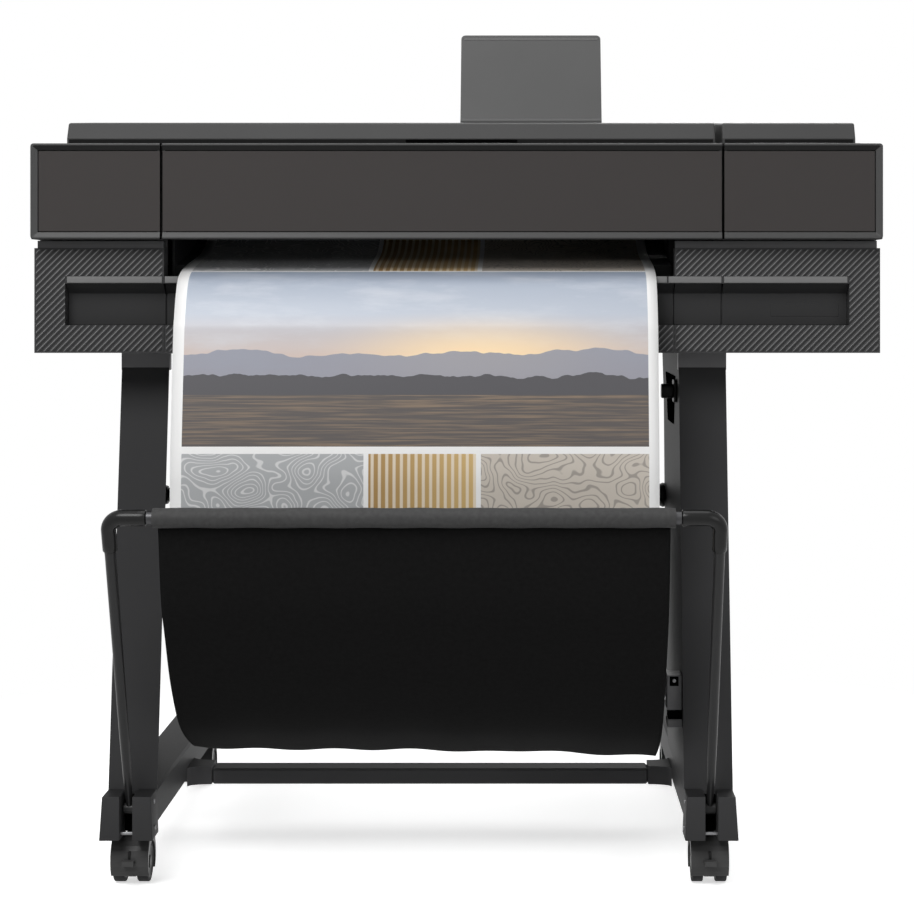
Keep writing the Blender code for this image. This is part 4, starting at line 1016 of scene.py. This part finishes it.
class PLOTTER_OT_bin(bpy.types.Operator):
    """Catch bin: bar, arms, rear tube, woven sleeve and hanging cloth"""
    bl_idname = "plotter.bin"
    bl_label = "Catch bin"

    def execute(self, context):
        sizes = context.scene.plotter_sizes
        round_bar("front_bar", "bin_bar", BAR, 0.0085, 0.0007, "bin_frame", "bar")
        round_bar("rear_tube", "bin_rear_tube", REAR_TUBE, 0.010, 0.0006, "root", "tube")
        make_arm("left", box("left_leg")[0][0] + 0.031, 1.0)
        make_arm("right", box("right_leg")[0][0] + 0.031, -1.0)
        self.sleeve(sizes)
        self.cloth(sizes)
        return {"FINISHED"}

    def sleeve(self, sizes):
        """Tube of cloth round the bar: its radius varies with slow puckers, and its ends turn in."""
        x = np.concatenate([[SLEEVE_X[0]], np.linspace(SLEEVE_X[0], SLEEVE_X[1], 120), [SLEEVE_X[1]]])
        turn = np.linspace(0, 2 * math.pi, 49)
        across, around = np.meshgrid(x, turn, indexing="ij")
        pucker = 0.0003 * np.sin(across * 90 + 2 * np.sin(around)) * np.cos(around * 2)
        radius = SLEEVE_RADIUS + pucker
        radius[[0, -1]] = 0.0088
        grid = np.stack([across, BAR[0] + radius * np.cos(around), BAR[1] + radius * np.sin(around)], axis=-1)
        sleeve = recalc(surface("bar_sleeve", grid, uv=True))
        around_bar = 2 * math.pi * 0.0122
        long = SLEEVE_X[1] - SLEEVE_X[0]
        FINISH["sleeve"] = woven("sleeve weave", (0.050, 0.050, 0.050), around_bar, long,
                                 sizes.weave_pitch * 1.3, 0.50, 0.10)
        dress(sleeve, "bin_frame", "sleeve", "fabric", "bin_sleeve")

    def cloth(self, sizes):
        """Cloth on a hanging path, with shallow folds that grow towards its low part and a wavy hem line."""
        way = even(smooth_path(CLOTH_WAY, 16), 150)
        run = run_length(way)
        share = (run / run[-1])[:, None]
        across = np.linspace(0, 1, 121)[None, :]
        sag = np.sin(math.pi * share) ** 2
        wander = np.sin(across * 14 + 1.5 * np.sin(across * 9))
        fold = 0.0016 * sag * (1 + wander) * np.exp(-((across - 0.62) / 0.30) ** 2)
        fold = fold + 0.0085 * sag * np.clip((across - 0.62) / 0.38, 0, 1) ** 1.4
        ripple = 0.0011 * np.sin(across * 38 + 5 * share) * sag
        cup = 0.004 * (1 - across) ** 12 * np.sin(math.pi * share)
        grid = np.zeros((150, 121, 3))
        grid[..., 0] = CLOTH_X[0] + (CLOTH_X[1] - CLOTH_X[0]) * across
        grid[..., 1] = way[:, :1] + ripple * 0.5
        grid[..., 2] = way[:, 1:] - fold + ripple + cup
        cloth = surface("bin_cloth", grid, uv=True)
        width = CLOTH_X[1] - CLOTH_X[0]
        tone = tuple(bpy.context.scene.plotter_colours.cloth)
        FINISH["cloth"] = woven("bin weave", tone, width, float(run[-1]), sizes.weave_pitch)
        cloth.data.materials.append(FINISH["cloth"])
        wall = cloth.modifiers.new("thickness", "SOLIDIFY")
        wall.thickness = 0.0014
        wall.offset = 0.0
        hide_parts("bin_sling")
        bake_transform(cloth)


# The stand: leg brackets, foot caps, screws, clips and casters

LEG_HEAD_FRONT = -0.1365
CAP_LEANS = {"left": (0.0037, -0.0022), "right": (0.0022, -0.0037)}
CAP_SLOT = 0.0080
BRACE_Y = (0.0552, 0.0988)
BRACE_HEIGHT = 0.0255
FLARE = 0.015
LEG_WINDOW = ((-0.070, 0.635), (0.100, 0.635), (0.060, 0.575), (-0.045, 0.575))
WINDOW_GUARD = ((-0.0011, 0.0030), (-0.0011, -0.0012), (0.0130, -0.0012), (0.0130, -0.0002),
                (-0.0001, -0.0002), (-0.0001, 0.0030))
SCREW = ((0.0, 1.0), (0.25, 1.0), (0.42, 0.90), (0.50, 0.55), (0.50, 0.46), (0.22, 0.46))


def screw(name, centre, axis, face, radius):
    """Pan-head screw: a low dome on its rim with a round socket sunk in the middle."""
    profile = np.array(SCREW) * (radius * face, radius)
    return dress(recalc(turned(name, profile, centre, axis, 24)), "root", "screw", "steel")


class PLOTTER_OT_stand(bpy.types.Operator):
    """Leg brackets, window guards, foot caps with screws, brace corners, tube collars, clip and catch"""
    bl_idname = "plotter.stand"
    bl_label = "Stand details"

    def execute(self, context):
        radius = context.scene.plotter_sizes.screw_radius
        for side in ("left", "right"):
            self.leg_head(side)
            self.cap_screws(side, radius)
            self.fillet(side)
            self.tube_collar(side)
            self.foot_cap(side)
            self.window_guard(side)
        self.cable_clip()
        self.leg_catch(radius)
        return {"FINISHED"}

    def leg_head(self, side):
        """Bracket across the top of a leg, painted lighter than the leg to make up for the shade under the
        head.
        """
        low, high = box(side + "_leg")
        top = high[2] - 0.0004
        slab(side + "_leg_bracket", (low[0] - 0.0006, LEG_HEAD_FRONT - 0.0012, top - 0.024),
             (high[0] + 0.0006, LEG_HEAD_FRONT + 0.016, top), 0.0006, "bracket", "steel", "Y", 0.0012)

    def fillet(self, side):
        """Corner of the brace: a block whose faces flare to the foot on quarter circles, in the brace coat
        with its painted light and top shade.
        """
        low, high = box(side + "_brace_corner")
        foot, brace = (low[0], high[0]) if side == "left" else (high[0], low[0])
        share = np.linspace(0, 1, 15)
        flare = FLARE * (1 - np.sqrt(1 - (1 - share) ** 2))
        edge = 0.0008
        near, far = BRACE_Y[0] - flare, BRACE_Y[1] + flare
        base, top = low[2], low[2] + BRACE_HEIGHT
        outline = ((near, base + edge), (near + edge, base), (far - edge, base), (far, base + edge),
                   (far, top - edge), (far - edge, top), (near + edge, top), (near, top - edge))
        grid = np.zeros((15, 8, 3))
        grid[..., 0] = (foot + (brace - foot) * share)[:, None]
        for column, (y, z) in enumerate(outline):
            grid[:, column, 1] = y
            grid[:, column, 2] = z
        item = recalc(surface(side + "_brace_fillet", grid, wrap=True, caps=(True, True)))
        dress(item, "root", "brace", "steel", side + "_brace_corner")

    def cap_screws(self, side, radius):
        """Two screws in each cheek of a foot cap, on its leaning face."""
        low, high = box(side + "_foot_cap")
        for index, z in enumerate((low[2] + 0.012, high[2] - 0.010)):
            up = (z - low[2]) / (high[2] - low[2])
            for face, x, lean in zip((-1.0, 1.0), (low[0], high[0]), CAP_LEANS[side]):
                part = "outer" if face * x > 0 else "inner"
                place = (x + lean * up, -0.262, z)
                screw(f"{side}_cap_screw_{index}_{part}", place, "X", face, radius * 0.9)

    def tube_collar(self, side):
        """Collar that holds the end of the rear tube against its leg."""
        low, high = box("bin_rear_tube")
        x, face = (low[0] + 0.001, 1.0) if side == "left" else (high[0] - 0.001, -1.0)
        profile = np.array(((0.0, 0.0102), (0.0, 0.0170), (0.003, 0.0175), (0.010, 0.0140),
                            (0.014, 0.0128), (0.014, 0.0102))) * (face, 1.0)
        collar = ring_turned(side + "_tube_collar", profile, (x, *REAR_TUBE))
        dress(collar, "root", "black", "plastic")

    def cable_clip(self):
        """Two-part clip on the inner face of the right leg: a base plate and a rounded jaw."""
        x = box("right_leg")[0][0]
        slab("cable_clip_base", (x - 0.004, -0.105, 0.604), (x - 0.0002, -0.070, 0.634), 0.0008,
             "black", "plastic", "X", 0.004)
        slab("cable_clip_jaw", (x - 0.020, -0.098, 0.609), (x - 0.0038, -0.077, 0.628), 0.0016,
             "black", "plastic", "X", 0.005)

    def leg_catch(self, radius):
        """Small shelf bracket inside the right leg, painted lighter to make up for its shade: a block with a
        sunk screw in a near-black pocket of painted shade, and a lip below it.
        """
        x = box("right_leg")[0][0] - 0.0002
        slab("leg_shelf", (x - 0.0195, -0.200, 0.212), (x, -0.165, 0.257), 0.0008,
             "bracket", "steel", "Y", 0.0014)
        # painted shade: a near-black pocket stands in for the hollow round the screw
        slab("leg_shelf_pocket", (x - 0.0158, -0.2006, 0.2432), (x - 0.0045, -0.198, 0.2555), 0.0002,
             "pit", "plastic", "Y")
        screw("leg_shelf_screw", (x - 0.0102, -0.2006, 0.2500), "Y", -1.0, radius * 0.7)
        slab("leg_shelf_neck", (x - 0.0175, -0.197, 0.1990), (x, -0.168, 0.2130), 0.0005,
             "pit", "plastic", "Y")
        slab("leg_shelf_lip", (x - 0.0188, -0.200, 0.1895), (x, -0.166, 0.2000), 0.0008,
             "bracket", "steel", "Y", 0.0012)

    def foot_cap(self, side):
        """Two cheeks whose outer faces lean in towards the top, a web behind the slot and a cross pin."""
        low, high = box(side + "_foot_cap")
        middle = (low[0] + high[0]) / 2
        left, right = middle - CAP_SLOT, middle + CAP_SLOT
        lean_a, lean_b = CAP_LEANS[side]
        for part, outer, inner, lean in (("a", low[0], left, lean_a), ("b", high[0], right, lean_b)):
            near, far = sorted((outer, inner))
            item = block(f"{side}_cap_cheek_{part}", (near, low[1], low[2]), (far, high[1], high[2]),
                         0.0010, "Z", 0.0013)
            points = np.zeros(len(item.data.vertices) * 3, np.float32)
            item.data.vertices.foreach_get("co", points)
            points = points.reshape(-1, 3)
            up = (points[:, 2] - low[2]) / (high[2] - low[2])
            points[:, 0] += lean * up * (points[:, 0] - inner) / (outer - inner)
            item.data.vertices.foreach_set("co", points.ravel())
            # painted shade: the upward faces of the cheeks take the foot coat's darker tone
            dress(item, "root", "foot", "steel")
        slab(side + "_cap_web", (left - 0.001, -0.2448, low[2] + 0.003),
             (right + 0.001, high[1], high[2] - 0.006), 0.0006, "pit", "steel", "X",
             nodes=(side + "_foot_cap",))
        pin = ((left - 0.001, 0.0020), (left, 0.0022), (right, 0.0022), (right + 0.001, 0.0020))
        pin = turned(side + "_cap_pin", pin, (0.0, -0.2745, low[2] + 0.0075), "X", 20)
        dress(pin, "root", "screw", "steel")

    def window_guard(self, side):
        """Edge guard of a leg's window: a closed profile of (depth, outset) carried round its outline."""
        outline = np.array(LEG_WINDOW)
        ahead = np.roll(outline, -1, axis=0) - outline
        ahead /= np.linalg.norm(ahead, axis=1, keepdims=True)
        normal = np.stack([-ahead[:, 1], ahead[:, 0]], axis=1)
        before = np.roll(normal, 1, axis=0)
        mitre = (normal + before) / (1 + (normal * before).sum(axis=1, keepdims=True))
        profile = np.array(WINDOW_GUARD)
        grid = np.zeros((len(profile), len(outline), 3))
        grid[..., 0] = box(side + "_leg")[0][0] + profile[:, :1]
        grid[..., 1:] = outline + mitre * profile[:, 1][:, None, None]
        guard = recalc(surface(side + "_window_guard", grid, wrap=True, ring=True))
        dress(guard, "root", "pit", "plastic")


WHEEL_HEIGHT = 0.024843
TREAD = ((0.0080, 0.0205), (0.0080, 0.0240), (0.0092, 0.02475), (0.0208, 0.02475), (0.0220, 0.0240),
         (0.0220, 0.0205))
HUB = ((0.0078, 0.0070), (0.0082, 0.0204), (0.0214, 0.0204), (0.0222, 0.0196), (0.0208, 0.0170),
       (0.0208, 0.0085), (0.0225, 0.0075), (0.0225, 0.0052))
AXLE = ((-0.0080, 0.0030), (-0.0079, 0.0034), (0.0079, 0.0034), (0.0080, 0.0030))


class PLOTTER_OT_casters(bpy.types.Operator):
    """Treads, hubs and axles of the twin wheels, and the finish of their hoods and brake pedals"""
    bl_idname = "plotter.casters"
    bl_label = "Casters"

    def execute(self, context):
        for end in ("front", "rear"):
            for side in ("left", "right"):
                self.caster(f"{end}_{side}")
        shown = [name for name in NODES if name.endswith(("_caster_hood", "_caster_brake_pedal"))]
        for name in shown:
            coat(name, "gloss")
        return {"FINISHED"}

    def caster(self, corner):
        """Two wheels either side of the middle, each a ring of tread round a turned hub, on one axle."""
        low, high = box(corner + "_caster_wheels")
        centre = ((low[0] + high[0]) / 2, (low[1] + high[1]) / 2, WHEEL_HEIGHT)
        body = corner + "_caster_roll"
        for name, face in (("left", -1.0), ("right", 1.0)):
            tread = ring_turned(f"{corner}_{name}_tread", np.array(TREAD) * (face, 1.0), centre)
            dress(tread, body, "tread", "rubber")
            hub = recalc(turned(f"{corner}_{name}_hub", np.array(HUB) * (face, 1.0), centre))
            dress(hub, body, "black", "plastic")
        if corner.startswith("front"):
            slab(corner + "_slot", (centre[0] - 0.0018, low[1] - 0.0054, 0.0345),
                 (centre[0] + 0.0018, low[1] - 0.001, 0.0445), 0.0004, "black", "plastic", "Y", 0.0010,
                 corner + "_caster_swivel")
        axle = turned(corner + "_axle", AXLE, centre)
        dress(axle, body, "screw", "steel", corner + "_caster_wheels")


# Rear and studio

VENT_Z = (0.716, 0.800)
REAR_SCREW_Z = (0.70, 0.92)
INLET_PINS = ((-0.007, -0.002), (0.0, 0.003), (0.007, -0.002))


class PLOTTER_OT_rear(bpy.types.Operator):
    """Vent slats and screws of the rear cover, and the pins of the power inlet"""
    bl_idname = "plotter.rear"
    bl_label = "Rear details"

    def execute(self, context):
        low, high = box("rear_cover")
        back = high[1]
        for index, x in enumerate(np.linspace(low[0] + 0.06, low[0] + 0.26, 14)):
            start, end = (x, back - 0.001, VENT_Z[0]), (x + 0.006, back + 0.0008, VENT_Z[1])
            slab(f"vent_slat_{index:02d}", start, end, 0.0006, "black", "shell", "Y", 0.0028)
        radius = context.scene.plotter_sizes.screw_radius
        below, above = REAR_SCREW_Z
        left, middle, right = low[0] + 0.02, -0.02, high[0] - 0.02
        places = ((left, below), (right, below), (left, above), (right, above), (middle, below),
                  (middle, above))
        for index, (x, z) in enumerate(places):
            screw(f"rear_screw_{index}", (x, back, z), "Y", 1.0, radius)
        low, high = box("power_inlet")
        middle = (low + high) / 2
        for index, (x, z) in enumerate(INLET_PINS):
            start = (middle[0] + x - 0.001, low[1] + 0.0005, middle[2] + z - 0.002)
            end = (middle[0] + x + 0.001, high[1] - 0.0015, middle[2] + z + 0.002)
            slab(f"inlet_pin_{index}", start, end, 0.0004, "bright", "bright", "Y", 0.0005)
        return {"FINISHED"}


LAMPS = (
    ("key", (-1.0, -2.6, 2.9), (0.0, -0.1, 0.6), 1.8, 92.0),
    ("fill", (2.2, -2.8, 1.4), (0.0, -0.1, 0.5), 2.0, 20.0),
    ("top", (0.2, -0.2, 3.2), (0.0, 0.0, 0.8), 2.0, 24.0),
    ("back", (0.8, 2.8, 2.3), (0.0, 0.1, 0.6), 2.2, 46.0),
    ("left side", (-3.0, 0.5, 1.7), (0.0, 0.1, 0.5), 2.0, 27.0),
    ("right side", (3.0, 0.5, 1.7), (0.0, 0.1, 0.5), 2.0, 27.0),
)
CAMERA_PLACE = (0.0805, -3.034, 0.743)
CAMERA = {"sensor_width": 36.0, "lens": 86.65, "shift_x": -0.0689, "shift_y": -0.174}
FLOOR_RINGS = (0.001, 2.0, 6.0, 20.0)
SURROUND_LIGHT = 0.11
WHITE = (1.0, 1.0, 1.0)


class PLOTTER_OT_studio(bpy.types.Operator):
    """Pale floor, soft lamps, white surround and the camera"""
    bl_idname = "plotter.studio"
    bl_label = "Studio"

    def execute(self, context):
        self.floor()
        self.surround(context.scene)
        for row in LAMPS:
            self.lamp(*row)
        data = bpy.data.cameras.new("camera")
        for key, value in CAMERA.items():
            setattr(data, key, value)
        camera = bpy.data.objects.new("camera", data)
        camera.location = CAMERA_PLACE
        camera.rotation_euler = (math.pi / 2, 0.0, 0.0)
        context.scene.collection.objects.link(camera)
        context.scene.camera = camera
        context.scene.view_settings.view_transform = "Standard"
        return {"FINISHED"}

    def floor(self):
        """Level disc whose paint lifts to white for the camera, wholly so away from the object's shadow."""
        ring = np.linspace(0, 2 * math.pi, 96, endpoint=False)
        radius = np.array(FLOOR_RINGS)[:, None]
        level = np.full((len(FLOOR_RINGS), 96), -0.0002)
        grid = np.stack([radius * np.cos(ring), radius * np.sin(ring), level], axis=-1)
        floor = surface("floor", grid, wrap=True, caps=(True, False))
        look = Look("pale floor", 0.9, gloss=0.1)
        drift = look.noise(look.place(), 3.0, 2.0)
        look.out("Base Color", look.mix(drift, (0.84, 0.84, 0.84), (0.88, 0.88, 0.88)))
        floor.data.materials.append(look.material)
        seen = look.rays("Is Camera Ray", "Is Glossy Ray")
        reach = look.node("ShaderNodeVectorMath", {"operation": "LENGTH"}, {0: look.place()}, "Value")
        fade = ((reach - 0.75) * 1.6).clamp()
        paint = Value(look, look.shader.outputs[0])
        glow = look.node("ShaderNodeEmission", None, {"Color": WHITE, "Strength": 0.60})
        white = look.node("ShaderNodeEmission", None, {"Color": WHITE, "Strength": 1.0})
        lifted = look.node("ShaderNodeAddShader", None, {0: glow, 1: paint})
        faded = look.node("ShaderNodeMixShader", None, {0: fade, 1: lifted, 2: white})
        dim = look.node("ShaderNodeBsdfDiffuse", None, {"Color": (0.55, 0.55, 0.55)})
        pick = look.node("ShaderNodeMixShader", None, {0: seen, 1: dim, 2: faded})
        look.feed(look.tree.nodes["Material Output"].inputs["Surface"], pick)

    def surround(self, scene):
        """World that is white to the camera, in gloss and through glass, and dimmer as light."""
        scene.world = bpy.data.worlds.new("surround")
        scene.world.use_nodes = True
        nodes = Nodes(scene.world.node_tree)
        seen = nodes.rays("Is Camera Ray", "Is Transmission Ray", "Is Glossy Ray")
        sky = nodes.tree.nodes["Background"]
        nodes.feed(sky.inputs["Color"], WHITE)
        nodes.feed(sky.inputs["Strength"], seen * (1.0 - SURROUND_LIGHT) + SURROUND_LIGHT)

    def lamp(self, name, place, goal, size, power):
        """Round soft lamp aimed at a goal; the side lamps don't show in gloss."""
        data = bpy.data.lights.new(name, "AREA")
        data.shape = "DISK"
        data.size = size
        data.energy = power
        item = bpy.data.objects.new(name + " lamp", data)
        item.location = place
        way = Vector(goal) - Vector(place)
        item.rotation_euler = way.to_track_quat("-Z", "Y").to_euler()
        item.visible_glossy = not name.endswith("side")
        bpy.context.scene.collection.objects.link(item)


STEPS = (PLOTTER_OT_finishes, PLOTTER_OT_fronts, PLOTTER_OT_lower_front, PLOTTER_OT_lids, PLOTTER_OT_sheet,
         PLOTTER_OT_bin, PLOTTER_OT_stand, PLOTTER_OT_casters, PLOTTER_OT_rear, PLOTTER_OT_studio)


class PLOTTER_PT_sidebar(bpy.types.Panel):
    """Sidebar list of the plotter's sizes, colours and building steps"""
    bl_idname = "PLOTTER_PT_sidebar"
    bl_label = "Large format plotter"
    bl_space_type = "VIEW_3D"
    bl_region_type = "UI"
    bl_category = "Plotter"

    def draw(self, context):
        for group in (context.scene.plotter_sizes, context.scene.plotter_colours):
            for key in group.__annotations__:
                self.layout.prop(group, key)
        for step in STEPS:
            self.layout.operator(step.bl_idname)


CLASSES = (PlotterSizes, PlotterColours, *STEPS, PLOTTER_PT_sidebar)


def register():
    for item in CLASSES:
        bpy.utils.register_class(item)
    bpy.types.Scene.plotter_sizes = bpy.props.PointerProperty(type=PlotterSizes)
    bpy.types.Scene.plotter_colours = bpy.props.PointerProperty(type=PlotterColours)


def unregister():
    del bpy.types.Scene.plotter_colours
    del bpy.types.Scene.plotter_sizes
    for item in reversed(CLASSES):
        bpy.utils.unregister_class(item)


def main():
    register()
    bpy.ops.plotter.finishes()
    bpy.ops.plotter.fronts()
    bpy.ops.plotter.lower_front()
    bpy.ops.plotter.lids()
    bpy.ops.plotter.sheet()
    bpy.ops.plotter.bin()
    bpy.ops.plotter.stand()
    bpy.ops.plotter.casters()
    bpy.ops.plotter.rear()
    bpy.ops.plotter.studio()
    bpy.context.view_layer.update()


if __name__ == "__main__":
    main()
